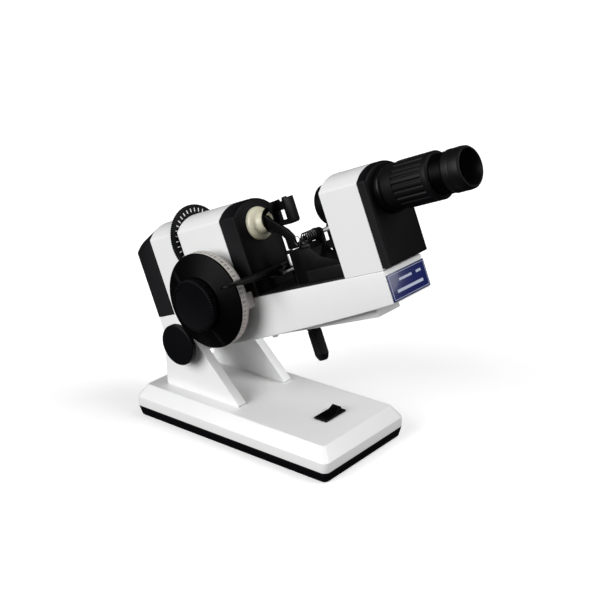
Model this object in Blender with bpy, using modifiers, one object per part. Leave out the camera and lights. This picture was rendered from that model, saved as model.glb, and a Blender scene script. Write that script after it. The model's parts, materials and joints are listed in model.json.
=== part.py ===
"""Manual lensmeter (focimeter) on a tilting stand, built as an assembly of separate solids.

World frame: +X towards the eyepiece, +Y to the user's right, +Z up, metres. The stand is placed from
the centre of its base. Everything that tilts is placed in the head frame: its origin is the tilt
axle, its X runs along the arm towards the eyepiece and its Z is square to the arm.
"""
import math

import bmesh
import bpy

MM = 0.001
GAP = 0.3 * MM               # clearance between pieces that touch
RUN = 0.05 * MM              # radial clearance of a running fit

# ---- driving dimensions of the stand (from the base's centre) ----
BASE_CENTRE_X = -45.8 * MM   # puts the world origin under the middle of the whole object
BASE_LENGTH = 250.0 * MM
BASE_WIDTH = 125.3 * MM
BASE_CORNER = 6.0 * MM
PLATE_DRAFT = 2.4 * MM
FOOT_HEIGHT = 1.2 * MM
PLATE_TOP = 12.1 * MM
COVER_SIDE_TOP = 22.5 * MM
COVER_TOP = 35.1 * MM
COVER_CHAMFER = 9.0 * MM
COVER_WALL = 3.0 * MM

CHEEK_INNER = 29.4 * MM
CHEEK_OUTER = 40.4 * MM
CHEEK_BACK_X = -99.8 * MM
CHEEK_BACK_TOP = 75.0 * MM
CHEEK_TOP_RADIUS = 17.0 * MM  # about the tilt axle
CHEEK_FRONT_LINE = 36.5 * MM  # x + z along the 45 degree front edge
PIVOT_X = -67.1 * MM
PIVOT_Z = 90.9 * MM
AXLE_RADIUS = 5.0 * MM

SWITCH_X = 80.8 * MM
SWITCH_Y = 0.8 * MM
SWITCH_PIVOT_Z = 34.0 * MM

# ---- driving dimensions of the head (from the tilt axle, along and square to the arm) ----
TILT = math.radians(21.13)
HALF_WIDTH = 28.65 * MM
ARM_REAR = -44.2 * MM
ARM_FRONT = 260.2 * MM
ARM_TOP = 27.0 * MM
ARM_BOTTOM_REAR = -15.0 * MM
ARM_BOTTOM_FRONT = -3.6 * MM
ARM_WALL = 3.0 * MM
TRAY_HALF_WIDTH = 16.8 * MM
TRAY_REAR = 52.0 * MM
TRAY_FRONT = 229.8 * MM
TRAY_BOTTOM = -14.8 * MM

ARCH_CORNER = 105.9 * MM
ARCH_TOP = 117.4 * MM
AXIS_Z = 92.2 * MM           # optical axis
HOUSING_REAR = -19.2 * MM
HOUSING_FRONT = 84.7 * MM
REAR_COVER_END = -45.2 * MM
REAR_COVER_DROP = 9.0 * MM
NOSE_COVER_FACE = 105.4 * MM
TELE_REAR = 215.8 * MM
TELE_COVER_FACE = 269.9 * MM
COVER_SHELL = 2.5 * MM

WHEEL_X = (17.3 * MM, 21.6 * MM)
WHEEL_RADIUS = 35.8 * MM
SLEEVE_RADIUS = 22.0 * MM
SLEEVE_BORE = 19.0 * MM

DRUM_X = 59.3 * MM
DRUM_Z = 37.5 * MM
DRUM_RADIUS = 47.3 * MM
SHAFT_RADIUS = 3.0 * MM
PINION_RADIUS = 5.0 * MM
PINION_TEETH = 12

POST_X = 126.0 * MM
POST_Y = 8.0 * MM
POST_RADIUS = 2.9 * MM
HANDLE_RADIUS = 6.8 * MM
TABLE_Z = (47.3 * MM, 50.7 * MM)
# Half of the lens table's outline, from the notch round its post to the swept-back tip.
TABLE_HALF = ((122.4, 12.0), (137.4, 15.0), (136.5, 28.0), (133.5, 44.0), (129.5, 58.0), (125.0, 70.0),
              (120.5, 77.0), (115.0, 79.0), (109.5, 77.0), (107.0, 70.0), (108.4, 60.0), (112.3, 48.0),
              (115.8, 34.0), (117.0, 20.0))

ROD_X = 172.1 * MM
ROD_Z = 69.5 * MM
ROD_RADIUS = 2.2 * MM

TUBE_RADIUS = 17.8 * MM
TUBE_BORE = 15.5 * MM

COLOURS = {
    "white_paint": ((0.83, 0.84, 0.83, 1.0), 0.35, 0.0),
    "black_plastic": ((0.012, 0.012, 0.014, 1.0), 0.45, 0.0),
    "black_paint": ((0.010, 0.010, 0.012, 1.0), 0.35, 0.0),
    "rubber": ((0.02, 0.02, 0.02, 1.0), 0.8, 0.0),
    "steel": ((0.62, 0.62, 0.63, 1.0), 0.25, 1.0),
    "brass": ((0.66, 0.50, 0.22, 1.0), 0.35, 1.0),
    "cream_plastic": ((0.72, 0.70, 0.52, 1.0), 0.4, 0.0),
    "scale_white": ((0.55, 0.52, 0.49, 1.0), 0.5, 0.0),
    "blue_plate": ((0.012, 0.022, 0.16, 1.0), 0.3, 0.0),
    "glass": ((0.80, 0.88, 0.90, 1.0), 0.05, 0.0),
}


# ---------------------------------------------------------------- scene and helpers

def clear_scene():
    for old in list(bpy.data.objects):
        bpy.data.objects.remove(old, do_unlink=True)


clear_scene()
PARTS = bpy.data.collections.new("lensmeter")
CUTTERS = bpy.data.collections.new("cutters")
bpy.context.scene.collection.children.link(PARTS)
bpy.context.scene.collection.children.link(CUTTERS)


def make_material(name):
    colour, roughness, metallic = COLOURS[name]
    mat = bpy.data.materials.new(name)
    mat.use_nodes = True
    shader = mat.node_tree.nodes["Principled BSDF"]
    shader.inputs["Base Color"].default_value = colour
    shader.inputs["Roughness"].default_value = roughness
    shader.inputs["Metallic"].default_value = metallic
    return mat


def empty(name, location, rotation=(0.0, 0.0, 0.0), parent=None):
    obj = bpy.data.objects.new(name, None)
    obj.location = location
    obj.rotation_euler = rotation
    obj.parent = parent
    PARTS.objects.link(obj)
    return obj


def add_object(name, mesh, location, rotation, parent, material):
    """A piece goes in the parts collection; with no material it is a cutter."""
    obj = bpy.data.objects.new(name, mesh)
    obj.location = location
    obj.rotation_euler = rotation
    obj.parent = parent
    if material is None:
        obj.hide_render = True
        obj.display_type = "WIRE"
        CUTTERS.objects.link(obj)
    else:
        mesh.materials.append(make_material(material))
        PARTS.objects.link(obj)
    return obj


def mesh_from(bm, name):
    bmesh.ops.recalc_face_normals(bm, faces=bm.faces)
    mesh = bpy.data.meshes.new(name)
    bm.to_mesh(mesh)
    bm.free()
    return mesh


def round_shading(mesh, angle=35.0):
    mesh.shade_smooth()
    mesh.set_sharp_from_angle(angle=math.radians(angle))


def bevel(obj, width, segments=2, angle=40.0):
    mod = obj.modifiers.new("edges", "BEVEL")
    mod.width = width
    mod.segments = segments
    mod.limit_method = "ANGLE"
    mod.angle_limit = math.radians(angle)
    return obj


def boolean(obj, other, operation="DIFFERENCE"):
    mod = obj.modifiers.new(other.name, "BOOLEAN")
    mod.operation = operation
    mod.solver = "EXACT"
    mod.object = other
    return obj


def box(name, low, high, parent, material=None):
    """Axis-aligned block between two corners of its parent's frame."""
    bm = bmesh.new()
    bmesh.ops.create_cube(bm, size=1.0)
    bmesh.ops.scale(bm, vec=[h - l for l, h in zip(low, high)], verts=bm.verts)
    centre = [(l + h) / 2 for l, h in zip(low, high)]
    return add_object(name, mesh_from(bm, name), centre, (0.0, 0.0, 0.0), parent, material)


TURN = {"X": (0.0, math.pi / 2, 0.0), "-Y": (math.pi / 2, 0.0, 0.0), "Z": (0.0, 0.0, 0.0)}


def cylinder(name, axis, start, end, centre, radius, parent, material=None, sides=24):
    """Cylinder along X, -Y or Z from start to end; centre gives the other two coordinates."""
    bm = bmesh.new()
    bmesh.ops.create_cone(bm, cap_ends=True, segments=sides, radius1=radius, radius2=radius,
                          depth=end - start)
    mesh = mesh_from(bm, name)
    round_shading(mesh)
    middle = (start + end) / 2
    location = {"X": (middle, centre[0], centre[1]), "-Y": (centre[0], -middle, centre[1]),
                "Z": (centre[0], centre[1], middle)}[axis]
    return add_object(name, mesh, location, TURN[axis], parent, material)


def turned(name, axis, centre, profile, parent, material=None, sides=32):
    """Turned piece. The profile lists (distance along the axis, radius) from the far end back.

    A profile that starts and ends at radius 0 is solid; any other is closed into a ring.
    """
    solid = profile[0][1] == 0.0 and profile[-1][1] == 0.0
    bm = bmesh.new()
    verts = [bm.verts.new((radius, 0.0, along)) for along, radius in profile]
    for a, b in zip(verts, verts[1:]):
        bm.edges.new((a, b))
    if not solid:
        bm.edges.new((verts[-1], verts[0]))
    mesh = bpy.data.meshes.new(name)
    bm.to_mesh(mesh)
    bm.free()
    location = {"X": (0.0, centre[0], centre[1]), "-Y": (centre[0], 0.0, centre[1]),
                "Z": (centre[0], centre[1], 0.0)}[axis]
    obj = add_object(name, mesh, location, TURN[axis], parent, material)
    mod = obj.modifiers.new("turn", "SCREW")
    mod.axis = "Z"
    mod.angle = 2 * math.pi
    mod.screw_offset = 0.0
    mod.steps = sides
    mod.render_steps = sides
    mod.use_merge_vertices = True
    mod.merge_threshold = 0.00001
    mod.use_smooth_shade = True
    return obj


def outline(name, points, start, end, plane, parent, material=None):
    """Flat outline extruded from start to end. Plane XZ is extruded along Y, YZ along X, XY along Z."""
    curve = bpy.data.curves.new(name, "CURVE")
    curve.dimensions = "2D"
    curve.fill_mode = "BOTH"
    curve.extrude = (end - start) / 2
    spline = curve.splines.new("POLY")
    spline.points.add(len(points) - 1)
    for point, (u, v) in zip(spline.points, points):
        point.co = (u, v, 0.0, 1.0)
    spline.use_cyclic_u = True
    guide = bpy.data.objects.new(name + "_outline", curve)
    CUTTERS.objects.link(guide)
    graph = bpy.context.evaluated_depsgraph_get()
    graph.update()
    raw = bpy.data.meshes.new_from_object(guide.evaluated_get(graph))
    bpy.data.objects.remove(guide, do_unlink=True)
    bm = bmesh.new()
    bm.from_mesh(raw)
    bmesh.ops.remove_doubles(bm, verts=bm.verts, dist=0.00001)
    bmesh.ops.dissolve_limit(bm, angle_limit=math.radians(1.0), verts=bm.verts, edges=bm.edges)
    middle = (start + end) / 2
    location, rotation = {
        "XZ": ((0.0, middle, 0.0), (math.pi / 2, 0.0, 0.0)),
        "YZ": ((middle, 0.0, 0.0), (math.pi / 2, 0.0, math.pi / 2)),
        "XY": ((0.0, 0.0, middle), (0.0, 0.0, 0.0)),
    }[plane]
    return add_object(name, mesh_from(bm, name), location, rotation, parent, material)


def arc(centre, radius, start, end, steps):
    """Points of a circular arc between two angles in degrees."""
    points = []
    for i in range(steps + 1):
        angle = math.radians(start + (end - start) * i / steps)
        points.append((centre[0] + radius * math.cos(angle), centre[1] + radius * math.sin(angle)))
    return points


# ---------------------------------------------------------------- stand

stand = empty("stand_frame", (BASE_CENTRE_X, 0.0, 0.0))


def base_block(name, inset, bottom, side_top, top, draft, chamfer, material=None):
    """Rounded block of the base's plan; its foot is drawn in by the draft and its top by the chamfer."""
    bm = bmesh.new()
    bmesh.ops.create_cube(bm, size=1.0)
    size = (BASE_LENGTH - 2 * inset, BASE_WIDTH - 2 * inset, side_top - bottom)
    bmesh.ops.scale(bm, vec=size, verts=bm.verts)
    bmesh.ops.translate(bm, vec=(0.0, 0.0, (bottom + side_top) / 2), verts=bm.verts)
    upright = [e for e in bm.edges if abs(e.verts[0].co.z - e.verts[1].co.z) > size[2] / 2]
    bmesh.ops.bevel(bm, geom=upright, offset=BASE_CORNER, segments=3, profile=0.5, affect="EDGES")
    if chamfer:
        cap = max(bm.faces, key=lambda f: f.calc_center_median().z)
        raised = bmesh.ops.extrude_face_region(bm, geom=[cap])["geom"]
        bm.faces.remove(cap)
        verts = [g for g in raised if isinstance(g, bmesh.types.BMVert)]
        bmesh.ops.translate(bm, vec=(0.0, 0.0, top - side_top), verts=verts)
        bmesh.ops.scale(bm, vec=(1 - 2 * chamfer / size[0], 1 - 2 * chamfer / size[1], 1.0), verts=verts)
    if draft:
        verts = [v for v in bm.verts if v.co.z < bottom + 0.0001]
        bmesh.ops.scale(bm, vec=(1 - 2 * draft / size[0], 1 - 2 * draft / size[1], 1.0), verts=verts)
    return add_object(name, mesh_from(bm, name), (0.0, 0.0, 0.0), (0.0, 0.0, 0.0), stand, material)


def make_base():
    plate_bottom = FOOT_HEIGHT + GAP
    plate = base_block("base_plate", 0.0, plate_bottom, PLATE_TOP, PLATE_TOP, PLATE_DRAFT, 0.0, "black_plastic")
    bevel(plate, 0.8 * MM, 1)
    tray = base_block("base_plate_tray", 3.5 * MM, plate_bottom + 3.0 * MM, PLATE_TOP + 1 * MM,
                      PLATE_TOP, 0.0, 0.0)
    boolean(plate, tray)

    cover = base_block("base_cover", 0.0, PLATE_TOP + GAP, COVER_SIDE_TOP, COVER_TOP, 0.0, COVER_CHAMFER,
                       "white_paint")
    bevel(cover, 0.9 * MM, 1, 20.0)
    hollow = base_block("base_cover_hollow", COVER_WALL, PLATE_TOP - 1 * MM, COVER_SIDE_TOP,
                        COVER_TOP - COVER_WALL, 0.0, COVER_CHAMFER)
    boolean(cover, hollow)
    half_x, half_y = 7.0 * MM, 14.8 * MM
    cut = box("switch_cut_out", (SWITCH_X - half_x, SWITCH_Y - half_y, 28 * MM),
              (SWITCH_X + half_x, SWITCH_Y + half_y, 40 * MM), stand)
    boolean(cover, cut)
    inlet_hole = cylinder("inlet_hole", "X", -0.130, -0.118, (30 * MM, 17.4 * MM), 4.0 * MM, stand, None, 20)
    boolean(cover, inlet_hole)

    spots = [(sx * 108 * MM, sy * 48 * MM) for sx in (-1, 1) for sy in (-1, 1)]
    for number, (x, y) in enumerate(spots, 1):
        foot = cylinder(f"rubber_foot_{number}", "Z", 0.0, FOOT_HEIGHT, (x, y), 8 * MM, stand, "rubber", 16)
        bevel(foot, 0.3 * MM, 1)


def make_inlet():
    """Low-voltage socket in the back wall of the base, open towards -X."""
    profile = [(-120.0, 3.7), (-125.3, 3.7), (-125.3, 5.5), (-127.0, 5.5), (-127.0, 2.6), (-120.0, 2.6)]
    turned("power_inlet", "X", (30 * MM, 17.4 * MM), [(a * MM, r * MM) for a, r in profile], stand,
           "black_plastic", 24)


def make_switch():
    flange_top = COVER_TOP + 2.0 * MM
    bezel = box("switch_bezel", (SWITCH_X - 7.75 * MM, SWITCH_Y - 15.6 * MM, COVER_TOP + GAP),
                (SWITCH_X + 7.75 * MM, SWITCH_Y + 15.6 * MM, flange_top), stand, "black_plastic")
    bevel(bezel, 0.4 * MM, 1)
    body = box("switch_body", (SWITCH_X - 6.7 * MM, SWITCH_Y - 14.5 * MM, 19 * MM),
               (SWITCH_X + 6.7 * MM, SWITCH_Y + 14.5 * MM, COVER_TOP + 1 * MM), stand)
    boolean(bezel, body, "UNION")
    well = box("switch_well", (SWITCH_X - 5.7 * MM, SWITCH_Y - 13.3 * MM, 22 * MM),
               (SWITCH_X + 5.7 * MM, SWITCH_Y + 13.3 * MM, 45 * MM), stand)
    boolean(bezel, well)

    pivot = empty("rocker_pivot", (SWITCH_X, SWITCH_Y, SWITCH_PIVOT_Z), parent=stand)
    # The end at -Y is pressed in and the end at +Y stands up.
    outline_points = [(-12.4, -4.0), (-12.6, 1.6), (-1.0, 3.4), (11.6, 6.0), (12.2, 4.4), (12.0, -1.0)]
    outline_points += arc((0.0, -2.0), 7.0, -20, -160, 6)
    points = [(y * MM, z * MM) for y, z in outline_points]
    rocker = outline("switch_rocker", points, -5.3 * MM, 5.3 * MM, "YZ", pivot, "black_plastic")
    bevel(rocker, 0.4 * MM, 1)


def make_cheeks():
    """Side plates with a 45 degree front edge and a rounded top around the tilt axle."""
    foot = COVER_TOP + GAP
    # The front edge passes close to the axle and cuts the arc there; the back slopes off its tangent.
    past_axle = (CHEEK_FRONT_LINE - PIVOT_X - PIVOT_Z) / math.sqrt(2.0)
    cut = 45 + math.degrees(math.acos(past_axle / CHEEK_TOP_RADIUS))
    reach = math.hypot(PIVOT_X - CHEEK_BACK_X, PIVOT_Z - CHEEK_BACK_TOP)
    slope = math.atan2(PIVOT_Z - CHEEK_BACK_TOP, PIVOT_X - CHEEK_BACK_X) + math.asin(CHEEK_TOP_RADIUS / reach)
    points = [(CHEEK_BACK_X, foot), (CHEEK_FRONT_LINE - foot, foot)]
    points += arc((PIVOT_X, PIVOT_Z), CHEEK_TOP_RADIUS, cut, 90 + math.degrees(slope), 5)
    points.append((CHEEK_BACK_X, CHEEK_BACK_TOP))
    for name, side in (("left_cheek", -1), ("right_cheek", 1)):
        low, high = sorted((side * CHEEK_INNER, side * CHEEK_OUTER))
        cheek = outline(name, points, low, high, "XZ", stand, "white_paint")
        bevel(cheek, 1.5 * MM, 1)
        hole = cylinder(name + "_bore", "-Y", -high - 1 * MM, -low + 1 * MM, (PIVOT_X, PIVOT_Z),
                        AXLE_RADIUS + RUN, stand, None, 24)
        boolean(cheek, hole)


def make_axle():
    centre = (PIVOT_X, PIVOT_Z)
    cylinder("tilt_axle", "-Y", -44 * MM, 47 * MM, centre, AXLE_RADIUS, stand, "steel", 24)
    bore = AXLE_RADIUS + RUN
    face = CHEEK_OUTER + GAP
    cap = [(-46.5 * MM, 0.0), (-face, 0.0)]
    cap = [(-face, bore), (-face, 11 * MM), (-45.5 * MM, 11 * MM), (-47.5 * MM, 9 * MM), (-47.5 * MM, 0.0)]
    cap = [(-44.3 * MM, 0.0), (-44.3 * MM, bore)] + cap
    turned("axle_cap", "-Y", centre, cap, stand, "black_plastic", 24)

    knob_frame = empty("lock_knob_axis", (PIVOT_X, 0.0, PIVOT_Z), parent=stand)
    front, back, radius = 54.8 * MM, 49.2 * MM, 21.15 * MM
    profile = [(front, 0.0), (front, radius - 1.2 * MM), (front - 1.2 * MM, radius), (back, radius),
               (back, 9 * MM), (face, 9 * MM), (face, bore), (47.3 * MM, bore), (47.3 * MM, 0.0)]
    turned("lock_knob", "-Y", (0.0, 0.0), profile, knob_frame, "black_plastic", 28)


# ---------------------------------------------------------------- head castings

head = empty("head_frame", (PIVOT_X, 0.0, PIVOT_Z), (0.0, -TILT, 0.0), stand)


def arm_bottom(x):
    """Underside of the arm: level at the back, rising gently to the front."""
    along = (x - ARM_REAR) / (ARM_FRONT - ARM_REAR)
    return ARM_BOTTOM_REAR + (ARM_BOTTOM_FRONT - ARM_BOTTOM_REAR) * along ** 2.2


def arm_outline(inset):
    steps = 6
    rear, front = ARM_REAR + inset, ARM_FRONT - inset
    points = [(front, ARM_TOP - inset), (rear, ARM_TOP - inset)]
    for i in range(steps + 1):
        x = rear + (front - rear) * i / steps
        points.append((x, arm_bottom(x) + inset))
    return points


def make_arm():
    arm = outline("arm_frame", arm_outline(0.0), -HALF_WIDTH, HALF_WIDTH, "XZ", head, "white_paint")
    bevel(arm, 1.0 * MM, 1, 50.0)
    inner = HALF_WIDTH - ARM_WALL
    boolean(arm, outline("arm_hollow", arm_outline(ARM_WALL), -inner, inner, "XZ", head))
    clear = GAP
    boolean(arm, box("tray_opening", (TRAY_REAR - clear, -TRAY_HALF_WIDTH - clear, -30 * MM),
                     (TRAY_FRONT + clear, TRAY_HALF_WIDTH + clear, 10 * MM), head))
    boolean(arm, cylinder("axle_bore", "-Y", -40 * MM, 40 * MM, (0.0, 0.0), AXLE_RADIUS + RUN, head, None, 24))
    boolean(arm, cylinder("post_bore", "Z", 15 * MM, 35 * MM, (POST_X, POST_Y), POST_RADIUS + RUN, head))

    cover = box("bottom_cover", (TRAY_REAR, -TRAY_HALF_WIDTH, TRAY_BOTTOM),
                (TRAY_FRONT, TRAY_HALF_WIDTH, 3 * MM), head, "white_paint")
    bevel(cover, 0.8 * MM, 1)
    wall = 2 * MM
    boolean(cover, box("bottom_cover_hollow", (TRAY_REAR + wall, -TRAY_HALF_WIDTH + wall, TRAY_BOTTOM + wall),
                       (TRAY_FRONT - wall, TRAY_HALF_WIDTH - wall, 8 * MM), head))
    boolean(cover, cylinder("handle_opening", "Z", -20 * MM, 0.0, (POST_X, POST_Y), HANDLE_RADIUS + GAP, head))

    screw_x, screw_y, screw_top = 104.3 * MM, -22.5 * MM, arm_bottom(104.3 * MM) - GAP
    profile = [(screw_top, 0.0), (screw_top, 3.0 * MM), (screw_top - 1.6 * MM, 3.0 * MM),
               (screw_top - 2.6 * MM, 1.8 * MM), (screw_top - 2.6 * MM, 0.0)]
    turned("bottom_screw", "Z", (screw_x, screw_y), profile, head, "steel", 16)

    plate = box("arm_top_plate", (NOSE_COVER_FACE + GAP, -27.5 * MM, ARM_TOP + GAP),
                (TELE_REAR - GAP, 27.5 * MM, ARM_TOP + 1.5 * MM), head, "black_paint")
    boolean(plate, cylinder("plate_post_hole", "Z", 15 * MM, 35 * MM, (POST_X, POST_Y), 3.4 * MM, head))

    box("nameplate", (ARM_FRONT + GAP, -27.7 * MM, -2.4 * MM), (ARM_FRONT + 1.2 * MM, 27.7 * MM, 22.4 * MM),
        head, "blue_plate")
    # The index reaches out from the arm to just behind the drum's rim.
    block = box("index_block", (93.0 * MM, -43.4 * MM, 19.0 * MM),
                (98.5 * MM, -HALF_WIDTH - GAP, 34.0 * MM), head, "scale_white")
    bevel(block, 0.6 * MM, 1)


def arch_points(inset, bottom, steps=8):
    """Cross-section of the housings: straight sides and a low round roof."""
    half = HALF_WIDTH - inset
    rise = ARCH_TOP - ARCH_CORNER
    radius = (HALF_WIDTH ** 2 + rise ** 2) / (2 * rise) - inset
    centre = ARCH_TOP - inset - radius
    spread = math.degrees(math.asin(half / radius))
    points = [(-half, bottom), (half, bottom)]
    return points + arc((0.0, centre), radius, 90 - spread, 90 + spread, steps)


def arch(name, start, end, inset, bottom, material=None, drop=0.0):
    """Housing block between two stations. The roof can drop towards the start."""
    obj = outline(name, arch_points(inset, bottom), start, end, "YZ", head, material)
    if drop:
        for vert in obj.data.vertices:
            # Local Y is the height and local Z runs along the arm.
            if vert.co.z < 0.0 and vert.co.y > ARCH_CORNER - 10 * MM:
                vert.co.y -= drop
    return obj


def make_rear_housing():
    bottom = ARM_TOP + GAP
    housing = arch("rear_housing", HOUSING_REAR, HOUSING_FRONT, 0.0, bottom, "white_paint")
    bevel(housing, 0.6 * MM, 1, 25.0)
    boolean(housing, arch("rear_housing_hollow", HOUSING_REAR - 5 * MM, HOUSING_FRONT + 5 * MM, ARM_WALL,
                          bottom - 5 * MM))
    boolean(housing, box("wheel_slot", (WHEEL_X[0] - 1.4 * MM, -40 * MM, 66 * MM),
                         (WHEEL_X[1] + 2.1 * MM, 40 * MM, 130 * MM), head))
    boolean(housing, cylinder("shaft_opening", "-Y", -35 * MM, 35 * MM, (DRUM_X, DRUM_Z),
                              SHAFT_RADIUS + RUN, head, None, 20))

    cover = arch("rear_cover", REAR_COVER_END, HOUSING_REAR - GAP, 0.2 * MM, bottom, "black_plastic",
                 REAR_COVER_DROP)
    bevel(cover, 1.2 * MM, 1, 25.0)
    boolean(cover, arch("rear_cover_hollow", REAR_COVER_END + COVER_SHELL, HOUSING_REAR + 5 * MM,
                        COVER_SHELL + 0.2 * MM, bottom - 5 * MM, None, REAR_COVER_DROP))

    nose = arch("nose_cover", HOUSING_FRONT + GAP, NOSE_COVER_FACE, 0.2 * MM, bottom, "black_plastic")
    bevel(nose, 1.2 * MM, 1, 25.0)
    boolean(nose, arch("nose_cover_hollow", HOUSING_FRONT - 5 * MM, NOSE_COVER_FACE - COVER_SHELL,
                       COVER_SHELL + 0.2 * MM, bottom - 5 * MM))
    boolean(nose, cylinder("nose_opening", "X", 95 * MM, 110 * MM, (0.0, AXIS_Z), 12.3 * MM, head, None, 24))


def make_telescope_housing():
    bottom = ARM_TOP + GAP
    housing = arch("telescope_housing", TELE_REAR, ARM_FRONT, 0.0, bottom, "white_paint")
    bevel(housing, 0.6 * MM, 1, 25.0)
    boolean(housing, arch("telescope_hollow", TELE_REAR + ARM_WALL, ARM_FRONT + 5 * MM, ARM_WALL,
                          bottom - 5 * MM))
    boolean(housing, cylinder("barrel_opening", "X", 210 * MM, 225 * MM, (0.0, AXIS_Z), 16.3 * MM,
                              head, None, 24))

    cover = arch("eyepiece_cover", ARM_FRONT + GAP, TELE_COVER_FACE, 0.2 * MM, ARM_TOP + 2 * MM,
                 "black_plastic")
    bevel(cover, 1.2 * MM, 1, 25.0)
    boolean(cover, arch("eyepiece_cover_hollow", ARM_FRONT - 5 * MM, TELE_COVER_FACE - COVER_SHELL,
                        COVER_SHELL + 0.2 * MM, ARM_TOP + 4.5 * MM))
    boolean(cover, cylinder("eyepiece_opening", "X", 262 * MM, 275 * MM, (0.0, AXIS_Z), 18.6 * MM,
                            head, None, 24))


# ---------------------------------------------------------------- lamp, target and power drum

def make_lamp():
    optical = (0.0, AXIS_Z)
    socket = [(-27.0, 4.6), (-27.0, 8.0), (-42.4, 8.0), (-42.4, 4.6)]
    turned("lamp_socket", "X", optical, [(a * MM, r * MM) for a, r in socket], head, "black_plastic", 20)
    bulb = [(-13.0, 0.0), (-14.0, 3.2), (-17.5, 5.6), (-21.5, 5.2), (-25.0, 3.4), (-26.0, 4.3), (-40.0, 4.3),
            (-40.0, 0.0)]
    turned("lamp_bulb", "X", optical, [(a * MM, r * MM) for a, r in bulb], head, "glass", 20)


def make_axis_wheel():
    """Toothed wheel in the housing's slot, on a sleeve that turns in the bearing plate."""
    spin = empty("axis_wheel_axis", (0.0, 0.0, AXIS_Z), parent=head)
    profile = [(33 * MM, SLEEVE_BORE), (33 * MM, SLEEVE_RADIUS), (WHEEL_X[1], SLEEVE_RADIUS),
               (WHEEL_X[1], WHEEL_RADIUS), (WHEEL_X[0], WHEEL_RADIUS), (WHEEL_X[0], SLEEVE_RADIUS),
               (10 * MM, SLEEVE_RADIUS), (10 * MM, SLEEVE_BORE)]
    turned("axis_wheel", "X", (0.0, 0.0), profile, spin, "black_plastic", 36)

    plate = arch("bearing_plate", 26 * MM, 31 * MM, ARM_WALL + GAP, ARM_TOP + GAP, "brass")
    boolean(plate, cylinder("sleeve_bore", "X", 20 * MM, 40 * MM, (0.0, AXIS_Z), SLEEVE_RADIUS + 2 * RUN,
                            head, None, 36))
    rod_z = 60 * MM
    for name, y in (("guide_rod_left", -21 * MM), ("guide_rod_right", 21 * MM)):
        cylinder(name, "X", 31 * MM + GAP, 102.5 * MM, (y, rod_z), 1.5 * MM, head, "steel", 12)

    # The carriage's tube slides in the wheel's sleeve; its leg runs on the rods and carries the rack.
    carriage = turned("target_carriage", "X", (0.0, AXIS_Z),
                      [(50 * MM, 15 * MM), (50 * MM, 18.4 * MM), (20 * MM, 18.4 * MM), (20 * MM, 15 * MM)],
                      head, "black_paint", 24)
    leg = box("carriage_leg", (46 * MM, -24 * MM, 50 * MM), (50 * MM, 24 * MM, 76 * MM), head)
    boolean(carriage, leg, "UNION")
    for side, y in (("left", -21 * MM), ("right", 21 * MM)):
        boolean(carriage, cylinder(f"rod_bore_{side}", "X", 40 * MM, 60 * MM, (y, rod_z), 1.5 * MM + RUN,
                                   head, None, 12))
    target = [(23 * MM, 0.0), (23 * MM, 14.7 * MM), (21 * MM, 14.7 * MM), (21 * MM, 0.0)]
    turned("target_disc", "X", (0.0, AXIS_Z), target, head, "glass", 20)


def tooth_ring(teeth, pitch_radius, depth):
    """Outline of a small pinion with straight-sided teeth, one tooth pointing straight up."""
    points = []
    for i in range(teeth):
        centre = 90.0 - 360.0 * i / teeth
        for offset, radius in ((9.0, -0.55), (4.0, 0.45), (-4.0, 0.45), (-9.0, -0.55)):
            angle = math.radians(centre + offset)
            length = pitch_radius + radius * depth
            points.append((length * math.cos(angle), length * math.sin(angle)))
    return points


def make_power_drum():
    spin = empty("drum_axis", (DRUM_X, 0.0, DRUM_Z), parent=head)
    cylinder("drum_shaft", "-Y", -HALF_WIDTH + 0.5 * MM, 66 * MM, (0.0, 0.0), SHAFT_RADIUS, spin, "steel", 20)
    pitch = 2 * math.pi * PINION_RADIUS / PINION_TEETH
    depth = 0.8 * pitch / 2
    pinion = outline("drum_pinion", tooth_ring(PINION_TEETH, PINION_RADIUS, depth), -4 * MM, 4 * MM, "XZ",
                     spin, "brass")
    boolean(pinion, cylinder("pinion_bore", "-Y", -10 * MM, 10 * MM, (0.0, 0.0), SHAFT_RADIUS + RUN,
                             spin, None, 20))

    # The rack's gaps stand over the pinion's teeth, so the two are in mesh at rest.
    mesh_line = DRUM_Z + PINION_RADIUS
    count = 11
    points = [(74 * MM, 49.7 * MM), (45 * MM, 49.7 * MM), (45 * MM, mesh_line + 0.55 * depth)]
    for i in range(count):
        middle = DRUM_X + (i - (count - 1) / 2 - 0.5) * pitch
        if middle - pitch / 2 < 45.5 * MM:
            continue
        for across, down in ((-0.30, 0.55), (-0.13, -0.35), (0.13, -0.35), (0.30, 0.55)):
            points.append((middle + across * pitch, mesh_line + down * depth))
    points.append((74 * MM, mesh_line + 0.55 * depth))
    outline("target_rack", points, -3.5 * MM, 3.5 * MM, "XZ", head, "brass")

    bore = SHAFT_RADIUS + RUN
    disc = [(61.5, 27.0), (54.2, 47.3), (52.9, 47.3), (52.9, 43.6), (43.9, 43.6)]
    profile = [(61.5 * MM, bore)] + [(a * MM, r * MM) for a, r in disc] + [(43.9 * MM, bore)]
    turned("drum_disc", "-Y", (0.0, 0.0), profile, spin, "black_plastic", 40)
    ring = [(52.6 * MM, 44.0 * MM), (52.6 * MM, DRUM_RADIUS), (43.9 * MM, DRUM_RADIUS), (43.9 * MM, 44.0 * MM)]
    turned("scale_ring", "-Y", (0.0, 0.0), ring, spin, "scale_white", 40)
    knob = [(71.2, 0.0), (71.2, 24.8), (70.0, 26.0), (61.8, 26.0), (61.8, None), (66.4, None), (66.4, 0.0)]
    profile = [(a * MM, bore if r is None else r * MM) for a, r in knob]
    turned("drum_knob", "-Y", (0.0, 0.0), profile, spin, "black_plastic", 28)


# ---------------------------------------------------------------- nose, table, presser and marker

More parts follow.
